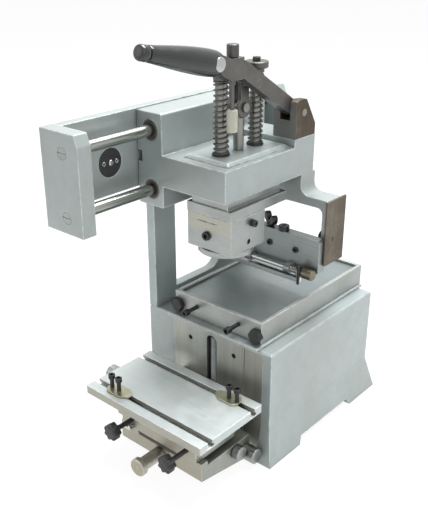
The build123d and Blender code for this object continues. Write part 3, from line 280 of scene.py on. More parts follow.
def makeMetal(name, look):
    material, tree, shader = startMaterial(name)
    grain = useGroup(tree, grainGroup, Stretch=look["stretch"])
    clouds = useGroup(tree, cloudGroup, Scale=look["cloudScale"])
    edges = useGroup(tree, edgeGroup, Radius=look["edgeRadius"], Patchiness=metalTuning["patchiness"],
                     Low=metalTuning["wearLow"], High=metalTuning["wearHigh"])
    grime = useGroup(tree, grimeGroup, Reach=look["grimeReach"])
    colour = addMix(tree, grain["Tone"], rgba(look["colour"]), rgba(look["lighter"]))
    colour = addLayer(tree, colour, look["stained"], clouds["Slow"], look["stain"])
    colour = addLayer(tree, colour, look["stained"], grain["Streak"], look["streak"])
    if "frontTint" in look:
        colour = addMix(tree, facingFront(tree), colour, rgba(look["frontTint"]))
    # A cream band across the front faces between two heights: a painted reflection
    if "band" in look:
        band = look["band"]
        height = addNode(tree, "ShaderNodeSeparateXYZ", {0: objectSpace(tree)}).outputs["Z"]
        ragged = addMath(tree, "MULTIPLY_ADD", clouds["Slow"], band["ragged"], height)
        above = addRange(tree, ragged, band["low"], band["low"] + band["soft"])
        below = addRange(tree, ragged, band["high"], band["high"] - band["soft"])
        inside = addMath(tree, "MULTIPLY", addMath(tree, "MULTIPLY", above, below), facingFront(tree))
        colour = addLayer(tree, colour, band["colour"], inside, band["strength"])
    # painted corner shade and grime: a darker colour where faces meet
    colour = addLayer(tree, colour, look["dirt"], grime["Mask"], look["grime"])
    # lighter colour along the edges: wear together with a painted highlight
    colour = addLayer(tree, colour, look["edge"], edges["Mask"], look["wear"])
    mixed = addMath(tree, "MULTIPLY_ADD", grain["Tone"], metalTuning["grainShare"],
                    addMath(tree, "MULTIPLY", clouds["Blotch"], metalTuning["cloudShare"]))
    roughness = addRange(tree, mixed, 0.0, 1.0, look["roughness"] - look["roughSpread"],
                         look["roughness"] + look["roughSpread"])
    finishSurface(tree, shader, colour, roughness, grain["Height"], look["grainDepth"], edges["Normal"])
    shader.inputs["Metallic"].default_value = look["metallic"]
    return material


# Moulded or turned plastic
plasticTuning = {"patchiness": 200.0, "wearLow": 0.05, "wearHigh": 0.4, "skinDetail": 3.0, "smoother": 0.04,
                 "rougher": 0.07, "coatRoughness": 0.12}


def makePlastic(name, look):
    material, tree, shader = startMaterial(name)
    clouds = useGroup(tree, cloudGroup, Scale=look["cloudScale"])
    edges = useGroup(tree, edgeGroup, Radius=look["edgeRadius"], Patchiness=plasticTuning["patchiness"],
                     Low=plasticTuning["wearLow"], High=plasticTuning["wearHigh"])
    colour = addMix(tree, clouds["Slow"], rgba(look["colour"]), rgba(look["lighter"]))
    # lighter colour along the edges: wear together with a painted highlight
    colour = addLayer(tree, colour, look["edge"], edges["Mask"], look["wear"])
    skin = addNoise(tree, objectSpace(tree), look["skinScale"], plasticTuning["skinDetail"])
    roughness = addRange(tree, clouds["Blotch"], 0.0, 1.0, look["roughness"] - plasticTuning["smoother"],
                         look["roughness"] + plasticTuning["rougher"])
    finishSurface(tree, shader, colour, roughness, skin, look["skinDepth"], edges["Normal"])
    shader.inputs["Coat Weight"].default_value = look["coat"]
    shader.inputs["Coat Roughness"].default_value = plasticTuning["coatRoughness"]
    return material


bluePaint = makePaint("blue grey enamel", {
    "colour": (0.318, 0.352, 0.342), "lighter": (0.36, 0.415, 0.413), "darker": (0.245, 0.28, 0.276),
    "dirt": (0.10, 0.10, 0.09), "edge": (0.80, 0.84, 0.84), "cloudScale": 7.0, "blotch": 0.2, "grime": 0.55,
    "wear": 0.9, "edgeRadius": 0.0026, "grimeReach": 0.010, "peelScale": 420.0, "peelDepth": 0.00012,
    "roughness": 0.34, "metallic": 0.25, "coat": 0.3})
plainSteel = {
    "colour": (0.47, 0.46, 0.43), "lighter": (0.62, 0.61, 0.59), "stained": (0.33, 0.30, 0.25),
    "dirt": (0.07, 0.06, 0.05), "edge": (0.80, 0.80, 0.78), "cloudScale": 14.0, "stain": 0.3, "streak": 0.2,
    "grime": 0.7, "wear": 0.6, "edgeRadius": 0.0007, "grimeReach": 0.006, "roughness": 0.36,
    "roughSpread": 0.10, "grainDepth": 0.00004, "stretch": (900.0, 900.0, 22.0), "metallic": 1.0}
milledSteel = {**plainSteel, "stretch": (60.0, 60.0, 700.0), "colour": (0.33, 0.355, 0.345),
               "lighter": (0.45, 0.475, 0.465), "streak": 0.25, "stain": 0.45, "wear": 0.95,
               "edge": (0.88, 0.90, 0.89), "edgeRadius": 0.0018, "metallic": 0.85, "grainDepth": 0.00002}


def metalLike(name, base, **changes):
    return makeMetal(name, {**base, **changes})


uprightSteel = metalLike("steel ground upright", plainSteel, stretch=(420.0, 420.0, 8.0),
                         colour=(0.37, 0.385, 0.36), lighter=(0.53, 0.545, 0.52),
                         stained=(0.255, 0.235, 0.19), stain=0.25, streak=0.6, metallic=0.8, roughness=0.42)
sidewaysSteel = metalLike("steel milled along the table", plainSteel, stretch=(18.0, 800.0, 800.0),
                          colour=(0.35, 0.335, 0.285), lighter=(0.49, 0.475, 0.41),
                          stained=(0.27, 0.235, 0.175), stain=0.4, streak=0.35, wear=0.8,
                          edge=(0.85, 0.85, 0.82))
kneeSteel = metalLike("steel milled knee", plainSteel, stretch=(16.0, 300.0, 300.0),
                      colour=(0.34, 0.355, 0.325), lighter=(0.44, 0.455, 0.42),
                      stained=(0.26, 0.265, 0.235), frontTint=(0.385, 0.365, 0.305), stain=0.4, streak=0.3,
                      wear=0.9, edge=(0.88, 0.89, 0.86), edgeRadius=0.0014, metallic=0.85, roughness=0.42)
carrierSteel = metalLike("ground blade carrier", plainSteel, stretch=(18.0, 500.0, 500.0),
                         colour=(0.27, 0.305, 0.30), lighter=(0.36, 0.395, 0.39),
                         stained=(0.20, 0.225, 0.22), stain=0.35, wear=0.8, metallic=0.8, roughness=0.42)
blockSteel = metalLike("steel milled block", milledSteel, stained=(0.26, 0.27, 0.255))
# The pad block carries a cream painted reflection across its front
padBlockSteel = metalLike("milled pad block", milledSteel, stained=(0.26, 0.275, 0.262), roughness=0.38,
                          band={"low": 0.333, "high": 0.357, "soft": 0.003, "ragged": 0.003,
                                "strength": 0.6, "colour": (0.42, 0.395, 0.325)})
tableSteel = metalLike("ground table", plainSteel, stretch=(14.0, 700.0, 700.0), colour=(0.58, 0.63, 0.62),
                       lighter=(0.68, 0.73, 0.72), stained=(0.41, 0.45, 0.448),
                       frontTint=(0.38, 0.375, 0.325), stain=0.45, cloudScale=6.0, roughness=0.5,
                       metallic=0.75, edge=(0.97, 0.98, 0.97), wear=0.95, edgeRadius=0.0018)
traySteel = metalLike("ground tray", plainSteel, stretch=(30.0, 500.0, 500.0), colour=(0.36, 0.38, 0.365),
                      lighter=(0.46, 0.48, 0.465), stained=(0.25, 0.265, 0.25), stain=0.35, roughness=0.46,
                      metallic=0.7, wear=1.0, edge=(0.86, 0.88, 0.87), edgeRadius=0.0022)
plateSteel = metalLike("lapped plate", plainSteel, stretch=(24.0, 260.0, 60.0), colour=(0.27, 0.305, 0.305),
                       lighter=(0.33, 0.365, 0.365), stained=(0.20, 0.235, 0.24), stain=0.55,
                       cloudScale=7.0, roughness=0.40, roughSpread=0.08, wear=0.5, grainDepth=0.00001,
                       streak=0.25, metallic=0.85, edge=(0.55, 0.58, 0.58))
rodSteel = metalLike("ground rod", plainSteel, stretch=(260.0, 4.0, 260.0), colour=(0.34, 0.36, 0.335),
                     lighter=(0.45, 0.47, 0.44), stained=(0.26, 0.265, 0.235), stain=0.2, streak=0.45,
                     cloudScale=4.0, roughness=0.24, roughSpread=0.03, grainDepth=0.000001,
                     edgeRadius=0.00015)
floodSteel = metalLike("bright flood bar", plainSteel, stretch=(6.0, 300.0, 300.0),
                       colour=(0.56, 0.575, 0.565), lighter=(0.70, 0.715, 0.70),
                       stained=(0.38, 0.385, 0.36), stain=0.2, streak=0.35, cloudScale=5.0, roughness=0.3,
                       roughSpread=0.05, grainDepth=0.000004, edgeRadius=0.0004)
postSteel = metalLike("oiled post", plainSteel, stretch=(700.0, 700.0, 10.0), colour=(0.24, 0.245, 0.23),
                      lighter=(0.34, 0.345, 0.325), stained=(0.14, 0.135, 0.118), edgeRadius=0.0003)
springSteel = metalLike("oiled spring wire", plainSteel, stretch=(500.0, 500.0, 500.0),
                        colour=(0.115, 0.115, 0.108), lighter=(0.19, 0.19, 0.18),
                        stained=(0.065, 0.065, 0.06), edge=(0.42, 0.41, 0.38), roughness=0.38, stain=0.4,
                        edgeRadius=0.0003)
leverSteel = metalLike("blackened lever", plainSteel, stretch=(300.0, 60.0, 60.0),
                       colour=(0.115, 0.11, 0.105), lighter=(0.18, 0.175, 0.165),
                       stained=(0.065, 0.06, 0.053), edge=(0.42, 0.40, 0.37), roughness=0.4, wear=0.8,
                       metallic=0.85)
brownSteel = metalLike("raw browned steel", plainSteel, stretch=(260.0, 260.0, 24.0),
                       colour=(0.15, 0.132, 0.10), lighter=(0.245, 0.22, 0.175),
                       stained=(0.07, 0.052, 0.037), dirt=(0.03, 0.02, 0.015), edge=(0.42, 0.38, 0.32),
                       stain=0.6, streak=0.55, roughness=0.5, metallic=0.7, cloudScale=22.0,
                       grainDepth=0.00012)
fulcrumSteel = metalLike("browned fulcrum", plainSteel, stretch=(120.0, 120.0, 24.0),
                         colour=(0.105, 0.086, 0.058), lighter=(0.16, 0.14, 0.105),
                         stained=(0.055, 0.035, 0.022), dirt=(0.03, 0.02, 0.015), edge=(0.30, 0.27, 0.22),
                         frontTint=(0.235, 0.235, 0.225), stain=0.75, streak=0.6, roughness=0.48,
                         metallic=0.7, cloudScale=38.0, grainDepth=0.0001)
blackScrew = metalLike("black oxide screw", plainSteel, stretch=(500.0, 500.0, 500.0),
                       colour=(0.035, 0.035, 0.037), lighter=(0.07, 0.07, 0.072),
                       stained=(0.02, 0.02, 0.02), edge=(0.22, 0.21, 0.2), streak=0.0, metallic=0.85,
                       edgeRadius=0.0004)
zincPlate = metalLike("yellow zinc", plainSteel, stretch=(40.0, 400.0, 400.0), colour=(0.47, 0.48, 0.38),
                      lighter=(0.62, 0.63, 0.53), stained=(0.36, 0.32, 0.16), edge=(0.75, 0.74, 0.58),
                      roughness=0.34, stain=0.5, cloudScale=60.0)
threadSteel = metalLike("oiled thread", plainSteel, stretch=(200.0, 200.0, 200.0),
                        colour=(0.19, 0.215, 0.22), lighter=(0.29, 0.32, 0.325), stained=(0.10, 0.11, 0.11),
                        edge=(0.36, 0.38, 0.38), wear=0.7, edgeRadius=0.0003)
knobAluminium = metalLike("turned aluminium", plainSteel, stretch=(500.0, 500.0, 500.0),
                          colour=(0.46, 0.45, 0.41), lighter=(0.58, 0.57, 0.53), stained=(0.34, 0.32, 0.27),
                          roughness=0.38, stain=0.4)
knobGrey = metalLike("dull zinc knob", plainSteel, stretch=(60.0, 300.0, 300.0), colour=(0.34, 0.36, 0.35),
                     lighter=(0.46, 0.48, 0.47), stained=(0.22, 0.23, 0.22), roughness=0.32, stain=0.45,
                     edge=(0.85, 0.86, 0.85), wear=0.9)
bronzeMetal = metalLike("oiled bronze", plainSteel, stretch=(300.0, 60.0, 300.0),
                        colour=(0.17, 0.15, 0.105), lighter=(0.27, 0.24, 0.175),
                        stained=(0.07, 0.055, 0.035), edge=(0.42, 0.38, 0.28), roughness=0.38, stain=0.5)
copperFace = metalLike("tan faced", plainSteel, stretch=(400.0, 400.0, 400.0), colour=(0.40, 0.37, 0.29),
                       lighter=(0.52, 0.48, 0.39), stained=(0.30, 0.26, 0.185), roughness=0.45, stain=0.4,
                       metallic=0.8)
brightSteel = metalLike("polished steel", plainSteel, stretch=(300.0, 300.0, 300.0),
                        colour=(0.55, 0.57, 0.565), lighter=(0.68, 0.70, 0.695),
                        stained=(0.38, 0.395, 0.39), roughness=0.2, roughSpread=0.05, stain=0.2,
                        grainDepth=0.00001)
domeSteel = metalLike("polished pin end", plainSteel, stretch=(200.0, 200.0, 200.0),
                      colour=(0.50, 0.52, 0.515), lighter=(0.58, 0.60, 0.595), stained=(0.30, 0.31, 0.305),
                      roughness=0.26, roughSpread=0.05, stain=0.35, grainDepth=0.00001,
                      edge=(0.62, 0.63, 0.62), edgeRadius=0.0003)
# The raised plate's enamel: a little lighter, with a wider and brighter painted highlight along its bevel
headPlatePaint = makePaint("raised plate enamel", {
    "colour": (0.335, 0.37, 0.36), "lighter": (0.375, 0.43, 0.43), "darker": (0.27, 0.305, 0.302),
    "dirt": (0.12, 0.12, 0.11), "edge": (0.86, 0.90, 0.90), "cloudScale": 9.0, "blotch": 0.25, "grime": 0.3,
    "wear": 1.0, "edgeRadius": 0.0042, "grimeReach": 0.006, "peelScale": 420.0, "peelDepth": 0.00008,
    "roughness": 0.36, "metallic": 0.2, "coat": 0.3})
plainPlastic = {
    "colour": (0.018, 0.018, 0.02), "lighter": (0.028, 0.028, 0.03), "edge": (0.10, 0.10, 0.10),
    "cloudScale": 30.0, "wear": 0.3, "edgeRadius": 0.0008, "skinScale": 900.0, "skinDepth": 0.00003,
    "roughness": 0.3, "coat": 0.2}
gripPlastic = makePlastic("glossy grip", {
    **plainPlastic, "colour": (0.010, 0.0115, 0.0115), "lighter": (0.015, 0.017, 0.017), "roughness": 0.22,
    "edgeRadius": 0.00015, "cloudScale": 6.0, "skinScale": 300.0, "skinDepth": 0.000002})
knobPlastic = makePlastic("moulded knob", {
    **plainPlastic, "roughness": 0.42, "coat": 0.0, "skinDepth": 0.00006})
dialBlack = makePlastic("dial black", {**plainPlastic, "roughness": 0.5, "coat": 0.0, "wear": 0.6})
sealRubber = makePlastic("wiper seal", {
    **plainPlastic, "colour": (0.05, 0.042, 0.035), "lighter": (0.08, 0.068, 0.055), "roughness": 0.55,
    "coat": 0.0})
nylon = makePlastic("cream nylon", {
    **plainPlastic, "colour": (0.44, 0.43, 0.36), "lighter": (0.52, 0.51, 0.43), "edge": (0.66, 0.65, 0.57),
    "roughness": 0.48, "coat": 0.0})
print("materials made")

nodeLooks = {
    "base_casting": bluePaint, "top_plate": bluePaint, "side_frame": bluePaint, "end_blocks": bluePaint,
    "guide_rods": rodSteel, "rod_end_screws": knobGrey, "dial_plate": dialBlack,
    "dial_screw": brightSteel, "ink_tray": traySteel, "printing_plate": plateSteel,
    "tray_hex_bolts": blackScrew, "plate_screws": blackScrew, "guide_plate": uprightSteel,
    "guide_gibs": uprightSteel, "guide_screws": blackScrew, "z_lead_screw": threadSteel,
    "carriage_casting": bluePaint, "rod_bushes": bronzeMetal, "head_plate": headPlatePaint,
    "wall_boss": brightSteel, "leg_bar": brownSteel, "carriage_cap_screws": blackScrew,
    "fulcrum_block": fulcrumSteel, "lever_pin": postSteel, "blade_carrier": carrierSteel,
    "carrier_screws": blackScrew, "doctor_blade": brightSteel, "post_springs": springSteel,
    "lever_arm": leverSteel, "grip": gripPlastic, "lever_cross_pins": leverSteel, "stop_screw": leverSteel,
    "stop_foot": nylon, "guide_posts": postSteel, "push_rod": postSteel, "post_caps": leverSteel,
    "cap_bolts": blackScrew, "head_flange": blockSteel, "pad_block": padBlockSteel,
    "pad_block_screws": blackScrew, "link_plates": leverSteel, "pad_turntable": blockSteel,
    "flood_bar": floodSteel, "flood_shaft": floodSteel, "flood_knob": bronzeMetal, "wing_screw": blackScrew,
    "knee": kneeSteel, "cross_screw_knob": knobAluminium, "height_lock_knob": knobGrey,
    "knee_lock_knob": knobGrey, "saddle": kneeSteel, "front_knob_left": knobPlastic,
    "front_knob_right": knobPlastic, "table_slide": sidewaysSteel, "table_top": tableSteel,
    "table_screw_knob": knobGrey, "clamp_plate_left": zincPlate, "clamp_screws_left": blackScrew,
    "clamp_plate_right": zincPlate, "clamp_screws_right": blackScrew}
for nodeName, cadPiece in nodes.items():
    cadPiece.data.materials.clear()
    cadPiece.data.materials.append(nodeLooks[nodeName])
print("CAD nodes dressed")

# The photographed view
cameraLook = {"place": (0.6377, -0.7675, 0.7145), "azimuth": 41.02, "elevation": 23.95,
              "focalPixels": 761.4, "longSidePixels": 514.0, "sensor": 36.0}
cameraData = bpy.data.cameras.new("camera")
cameraData.sensor_width = cameraLook["sensor"]
cameraData.lens = cameraLook["sensor"] * cameraLook["focalPixels"] / cameraLook["longSidePixels"]
camera = bpy.data.objects.new("camera", cameraData)
camera.location = cameraLook["place"]
camera.rotation_euler = (math.radians(90.0 - cameraLook["elevation"]), 0.0,
                         math.radians(cameraLook["azimuth"]))
bpy.context.scene.collection.objects.link(camera)
bpy.context.scene.camera = camera
bpy.context.scene.view_settings.view_transform = "Standard"

# Soft studio light: a broad key to the camera's right, a weaker fill on the left and a top panel
lamps = {
    "keyPanel": {"place": (1.9, -1.1, 1.7), "size": 1.4, "power": 9.0},
    "fillPanel": {"place": (-1.3, -2.0, 1.4), "size": 1.6, "power": 7.0},
    "topPanel": {"place": (0.0, 0.5, 2.2), "size": 1.3, "power": 82.0},
}
lampTarget = Vector((0.0, 0.0, 0.28))
for lampName, look in lamps.items():
    lampData = bpy.data.lights.new(lampName, "AREA")
    lampData.size = look["size"]
    lampData.energy = look["power"]
    lamp = bpy.data.objects.new(lampName, lampData)
    lamp.location = look["place"]
    lamp.rotation_mode = "QUATERNION"
    lamp.rotation_quaternion = (lampTarget - lamp.location).to_track_quat("-Z", "Y")
    bpy.context.scene.collection.objects.link(lamp)

# White surroundings: bright where they are seen or mirrored, dimmer where they only light the machine
white = (1.0, 1.0, 1.0, 1.0)
worldLook = {"fillStrength": 0.43, "seenStrength": 1.0}
floorLook = {"radius": 14.0, "segments": 96, "shadowShare": 0.2, "glow": 1.12,
             "colour": (0.93, 0.93, 0.93, 1.0), "roughness": 0.9}


def seenRays(tree):
    path = tree.nodes.new("ShaderNodeLightPath").outputs
    seen = addMath(tree, "MAXIMUM", path["Is Camera Ray"], path["Is Glossy Ray"])
    return addMath(tree, "MAXIMUM", seen, path["Is Transmission Ray"])


world = bpy.data.worlds.new("studio")
world.use_nodes = True
bpy.context.scene.world = world
worldTree = world.node_tree
background = worldTree.nodes["Background"]
background.inputs["Color"].default_value = white
worldTree.links.new(addRange(worldTree, seenRays(worldTree), 0.0, 1.0, worldLook["fillStrength"],
                             worldLook["seenStrength"]), background.inputs["Strength"])

floorMesh = bpy.data.meshes.new("floor")
floorShape = bmesh.new()
bmesh.ops.create_circle(floorShape, cap_ends=True, segments=floorLook["segments"],
                        radius=floorLook["radius"])
floorShape.to_mesh(floorMesh)
floorShape.free()
floor = bpy.data.objects.new("floor", floorMesh)
bpy.context.scene.collection.objects.link(floor)
floorMaterial, floorTree, floorShader = startMaterial("studio floor")
floorShader.inputs["Base Color"].default_value = floorLook["colour"]
floorShader.inputs["Roughness"].default_value = floorLook["roughness"]
floorShader.inputs["Specular IOR Level"].default_value = 0.0
glow = addNode(floorTree, "ShaderNodeEmission", {"Color": white, "Strength": floorLook["glow"]})
share = addMath(floorTree, "MULTIPLY", seenRays(floorTree), 1.0 - floorLook["shadowShare"])
floorMix = addNode(floorTree, "ShaderNodeMixShader", {0: share, 1: floorShader.outputs[0],
                                                      2: glow.outputs[0]})
floorTree.links.new(floorMix.outputs[0], floorTree.nodes["Material Output"].inputs["Surface"])
floorMesh.materials.append(floorMaterial)
print("camera, lamps and floor in place")


# Shapes are built at the origin, most of them along Z, and then carried to their place
def moved(shape, matrix):
    bmesh.ops.transform(shape, matrix=matrix, verts=shape.verts)
    return shape


def newPiece(name, shape, body, material, sharpAngle=32.0):
    bmesh.ops.recalc_face_normals(shape, faces=shape.faces)
    mesh = bpy.data.meshes.new(name)
    for face in shape.faces:
        face.smooth = True
    shape.to_mesh(mesh)
    shape.free()
    mesh.set_sharp_from_angle(angle=math.radians(sharpAngle))
    mesh.materials.append(material)
    piece = bpy.data.objects.new(name, mesh)
    bpy.context.scene.collection.objects.link(piece)
    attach(piece, body)
    return piece


def lowAndMiddle(nodeName):
    low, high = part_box(nodeName)
    return Vector(low), (Vector(low) + Vector(high)) / 2.0


def upright(point):
    return Matrix.Translation(point)


def alongX(point, flip=False):
    return Matrix.Translation(point) @ Matrix.Rotation(math.radians(-90.0 if flip else 90.0), 4, "Y")


def alongY(point, flip=False):
    return Matrix.Translation(point) @ Matrix.Rotation(math.radians(90.0 if flip else -90.0), 4, "X")


def turnedShape(outline, segments=64):
    shape = bmesh.new()
    points = [shape.verts.new((radius, 0.0, height)) for radius, height in outline]
    edges = [shape.edges.new(pair) for pair in zip(points, points[1:])]
    bmesh.ops.spin(shape, geom=points + edges, cent=(0.0, 0.0, 0.0), axis=(0.0, 0.0, 1.0),
                   dvec=(0.0, 0.0, 0.0), angle=2.0 * math.pi, steps=segments, use_merge=True,
                   use_normal_flip=False, use_duplicate=False)
    bmesh.ops.remove_doubles(shape, verts=shape.verts, dist=1e-6)
    return shape


def ringShape(outline, segments=64):
    return turnedShape(outline + [outline[0]], segments)


# A round bar whose radius changes with angle and height, for threads, knurls and flutes
def wavedShape(heights, segments, radiusAt):
    shape = turnedShape([(1.0, height) for height in heights], segments)
    bmesh.ops.holes_fill(shape, edges=shape.edges[:], sides=0)
    for vert in shape.verts:
        angle = math.atan2(vert.co.y, vert.co.x)
        radius = radiusAt(angle, vert.co.z)
        vert.co.x, vert.co.y = radius * math.cos(angle), radius * math.sin(angle)
    return shape


def roundEdges(shape, width, segments):
    bmesh.ops.bevel(shape, geom=shape.edges[:], offset=width, offset_type="OFFSET", segments=segments,
                    profile=0.5, affect="EDGES", clamp_overlap=True, material=-1)
    return shape


# A flat outline in X and Z, drawn out from nearY to farY
def drawnShape(corners, nearY, farY):
    shape = bmesh.new()
    face = shape.faces.new([shape.verts.new((x, nearY, z)) for x, z in corners])
    drawn = bmesh.ops.extrude_face_region(shape, geom=[face])
    bmesh.ops.translate(shape, vec=(0.0, farY - nearY, 0.0),
                        verts=[item for item in drawn["geom"] if isinstance(item, bmesh.types.BMVert)])
    return shape


def evenSteps(low, high, count):
    return [low + (high - low) * step / count for step in range(count + 1)]


def joinShapes(shapes):
    whole = bmesh.new()
    for shape in shapes:
        mesh = bpy.data.meshes.new("part")
        shape.to_mesh(mesh)
        shape.free()
        whole.from_mesh(mesh)
        bpy.data.meshes.remove(mesh)
    return whole


threadTuning = {"stepsPerTurn": 8, "segments": 36, "crest": 0.7}


def screwThread(look):
    turns = (look["high"] - look["low"]) / look["pitch"]

    def radiusAt(angle, height):
        wave = 0.5 + 0.5 * math.cos(2.0 * math.pi * height / look["pitch"] - angle)
        fade = min(1.0, (height - look["low"]) / look["pitch"], (look["high"] - height) / look["pitch"])
        return look["radius"] - look["depth"] * (1.0 - wave ** threadTuning["crest"]) * max(0.0, fade)

    return wavedShape(evenSteps(look["low"], look["high"], int(turns * threadTuning["stepsPerTurn"])),
                      threadTuning["segments"], radiusAt)


def knurledBar(look):
    crossings, bevel = look["crossings"], look["bevel"]

    def radiusAt(angle, height):
        inside = min((height - look["low"]) / bevel, (look["high"] - height) / bevel, 1.0)
        lean = crossings * (height - look["low"]) / look["radius"]
        rising = abs(math.sin(0.5 * (crossings * angle + lean)))
        falling = abs(math.sin(0.5 * (crossings * angle - lean)))
        return look["radius"] - bevel * (1.0 - inside) - look["depth"] * (1.0 - rising * falling) * inside

    rows = [look["low"], look["low"] + 0.5 * bevel]
    rows += evenSteps(look["low"] + bevel, look["high"] - bevel, look["rows"])
    rows += [look["high"] - 0.5 * bevel, look["high"]]
    return wavedShape(rows, crossings * look["segmentsPerCrossing"], radiusAt)


# Lead screw in the guide's slot: a fine thread above a plain journal
leadLow, leadMiddle = lowAndMiddle("z_lead_screw")
leadLook = {"radius": 0.00695, "depth": 0.0011, "pitch": 0.003, "low": 0.0144,
            "high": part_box("z_lead_screw")[1][2],
            "journal": 0.00495, "chamfer": 0.0005, "overlap": 0.001, "segments": 48}
journalTop = leadLook["low"] + leadLook["overlap"]
journal = turnedShape([(0.0, leadLow.z), (leadLook["journal"] - leadLook["chamfer"], leadLow.z),
                       (leadLook["journal"], leadLow.z + leadLook["chamfer"]),
                       (leadLook["journal"], journalTop), (0.0, journalTop)], leadLook["segments"])
leadScrew = moved(joinShapes([screwThread(leadLook), journal]), upright((leadMiddle.x, leadMiddle.y, 0.0)))
leadPiece = newPiece("lead_screw_thread", leadScrew, "z_screw", threadSteel)
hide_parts("z_lead_screw")

# Grip: a smooth taper to a groove and a rounded end cap
gripLook = {"middle": place(0.0248, -0.151, 0.55652), "tilt": 12.7, "segments": 96, "sharp": 50.0,
            "outline": [(0.0, 0.0), (0.0098, 0.0), (0.0124, 0.0004), (0.0140, 0.0018), (0.0151, 0.0045),
                        (0.0159, 0.0090), (0.0162, 0.0150), (0.0163, 0.0230), (0.0161, 0.0330),
                        (0.0156, 0.0450), (0.0149, 0.0570), (0.0140, 0.0690), (0.0129, 0.0810),
                        (0.0117, 0.0930), (0.0106, 0.1040), (0.0098, 0.1130), (0.0095, 0.1172),
                        (0.0091, 0.1184), (0.0078, 0.1188), (0.0078, 0.1198), (0.0086, 0.1202),
                        (0.0092, 0.1210), (0.0093, 0.1230), (0.0092, 0.1275), (0.0086, 0.1302),
                        (0.0072, 0.1315), (0.0040, 0.1320), (0.0, 0.1320)]}
gripTilt = math.radians(gripLook["tilt"])
gripPlace = Matrix.Translation(gripLook["middle"]) @ Matrix.Rotation(math.radians(90.0) - gripTilt, 4, "X")
gripShape = moved(turnedShape(gripLook["outline"], gripLook["segments"]), gripPlace)
gripPiece = newPiece("smooth_grip", gripShape, "lever", gripPlastic, gripLook["sharp"])
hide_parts("grip")

# Polished domes over the ends of the grip's cross pin
domeLook = {"reach": 0.0152, "away": 0.0115, "segments": 48,
            "outline": [(0.0, -0.004), (0.0088, -0.004), (0.0090, 0.0), (0.0088, 0.0006), (0.0078, 0.0012),
                        (0.0058, 0.0018), (0.0030, 0.0021), (0.0, 0.0022)]}
pinMiddle = gripLook["middle"] + domeLook["away"] * Vector((0.0, -math.cos(gripTilt), math.sin(gripTilt)))
domes = []
for side, flip in ((1.0, False), (-1.0, True)):
    pinEnd = pinMiddle + Vector((side * domeLook["reach"], 0.0, 0.0))
    domes.append(moved(turnedShape(domeLook["outline"], domeLook["segments"]), alongX(pinEnd, flip)))
newPiece("grip_pin_domes", joinShapes(domes), "lever", domeSteel)

# Knurled knob round the head of the stop screw
stopKnobLook = {"place": place(0.0248, -0.122, 0.0), "radius": 0.0078, "depth": 0.0006, "low": 0.5614,
                "high": 0.5769, "bevel": 0.001, "crossings": 26, "segmentsPerCrossing": 5, "rows": 22}
newPiece("stop_knob_knurl", moved(knurledBar(stopKnobLook), upright(stopKnobLook["place"])), "stop",
         blackScrew)

# Knurled sleeve on the table screw's knob
sleeveLook = {"radius": 0.01235, "depth": 0.0007, "low": 0.0002, "high": 0.0159, "bevel": 0.0012,
              "crossings": 34, "segmentsPerCrossing": 5, "rows": 20}
tableKnobLow, tableKnobMiddle = lowAndMiddle("table_screw_knob")
sleevePlace = alongX(Vector((tableKnobLow.x, tableKnobMiddle.y, tableKnobMiddle.z)))
newPiece("table_knob_knurl", moved(knurledBar(sleeveLook), sleevePlace), "table_screw",
         knobGrey)

# Tan face and rim of the cross slide's knob
crossLook = {"segments": 72, "sharp": 60.0,
             "outline": [(0.0, -0.0004), (0.0026, -0.0004), (0.0030, 0.0002), (0.0034, 0.0006),
                         (0.0102, 0.0006), (0.0108, 0.0001), (0.0112, -0.0004)]}
crossLow, crossMiddle = lowAndMiddle("cross_screw_knob")
crossPlace = alongY(Vector((crossMiddle.x, crossLow.y, crossMiddle.z)), True)
newPiece("cross_knob_face", moved(turnedShape(crossLook["outline"], crossLook["segments"]), crossPlace),
         "cross_screw", copperFace, crossLook["sharp"])

# Dial: two small socket screws beside the centre screw
dialLook = {"middle": place(-0.113, -0.207, 0.4205), "away": 0.0112, "segments": 32,
            "outline": [(0.0, -0.001), (0.0027, -0.001), (0.0028, 0.0006), (0.0026, 0.0009),
                        (0.0019, 0.0009), (0.0016, 0.0006), (0.0016, -0.0004), (0.0, -0.0004)]}
dialScrews = []
for side in (-1.0, 1.0):
    spot = dialLook["middle"] + Vector((0.0, side * dialLook["away"], 0.0))
    dialScrews.append(moved(turnedShape(dialLook["outline"], dialLook["segments"]), alongX(spot)))
newPiece("dial_small_screws", joinShapes(dialScrews), "frame", brightSteel)

# Wipers in the recesses at both ends of the rod bushes: a rubber lip inside a bright ring
rodX, rodHeights = -0.0875, (0.3765, 0.459)
wiperLook = {
    "walls": ((-0.157, True), (0.064, False)),
    "rubber": {"slot": "black_knob", "material": sealRubber,
               "outline": [(0.0082, -0.0028), (0.0082, -0.0006), (0.0092, -0.0001), (0.0122, -0.0001),
                           (0.0124, -0.0008), (0.0124, -0.0028)]},
    "ring": {"slot": "dark_screw", "material": postSteel,
             "outline": [(0.0126, -0.0028), (0.0126, 0.0001), (0.0130, 0.0004), (0.0144, 0.0004),
                         (0.0148, 0.0001), (0.0148, -0.0028)]}}
for partName in ("rubber", "ring"):
    look = wiperLook[partName]
    rings = []
    for wallY, flip in wiperLook["walls"]:
        for rodZ in rodHeights:
            rings.append(moved(ringShape(look["outline"]), alongY(place(rodX, wallY, rodZ), flip)))
    newPiece("rod_wiper_" + partName, joinShapes(rings), "carriage", look["material"])

# Dark collars round the springs' feet
postYs = (-0.1143, -0.0427)
collarLook = {"height": 0.43202,
              "outline": [(0.0107, 0.0), (0.0107, 0.0022), (0.0111, 0.0026), (0.0116, 0.0024),
                          (0.0118, 0.0018), (0.0118, 0.0)]}
collars = [moved(ringShape(collarLook["outline"]), upright(place(0.0, postY, collarLook["height"])))
           for postY in postYs]
newPiece("spring_collars", joinShapes(collars), "carriage", blackScrew)

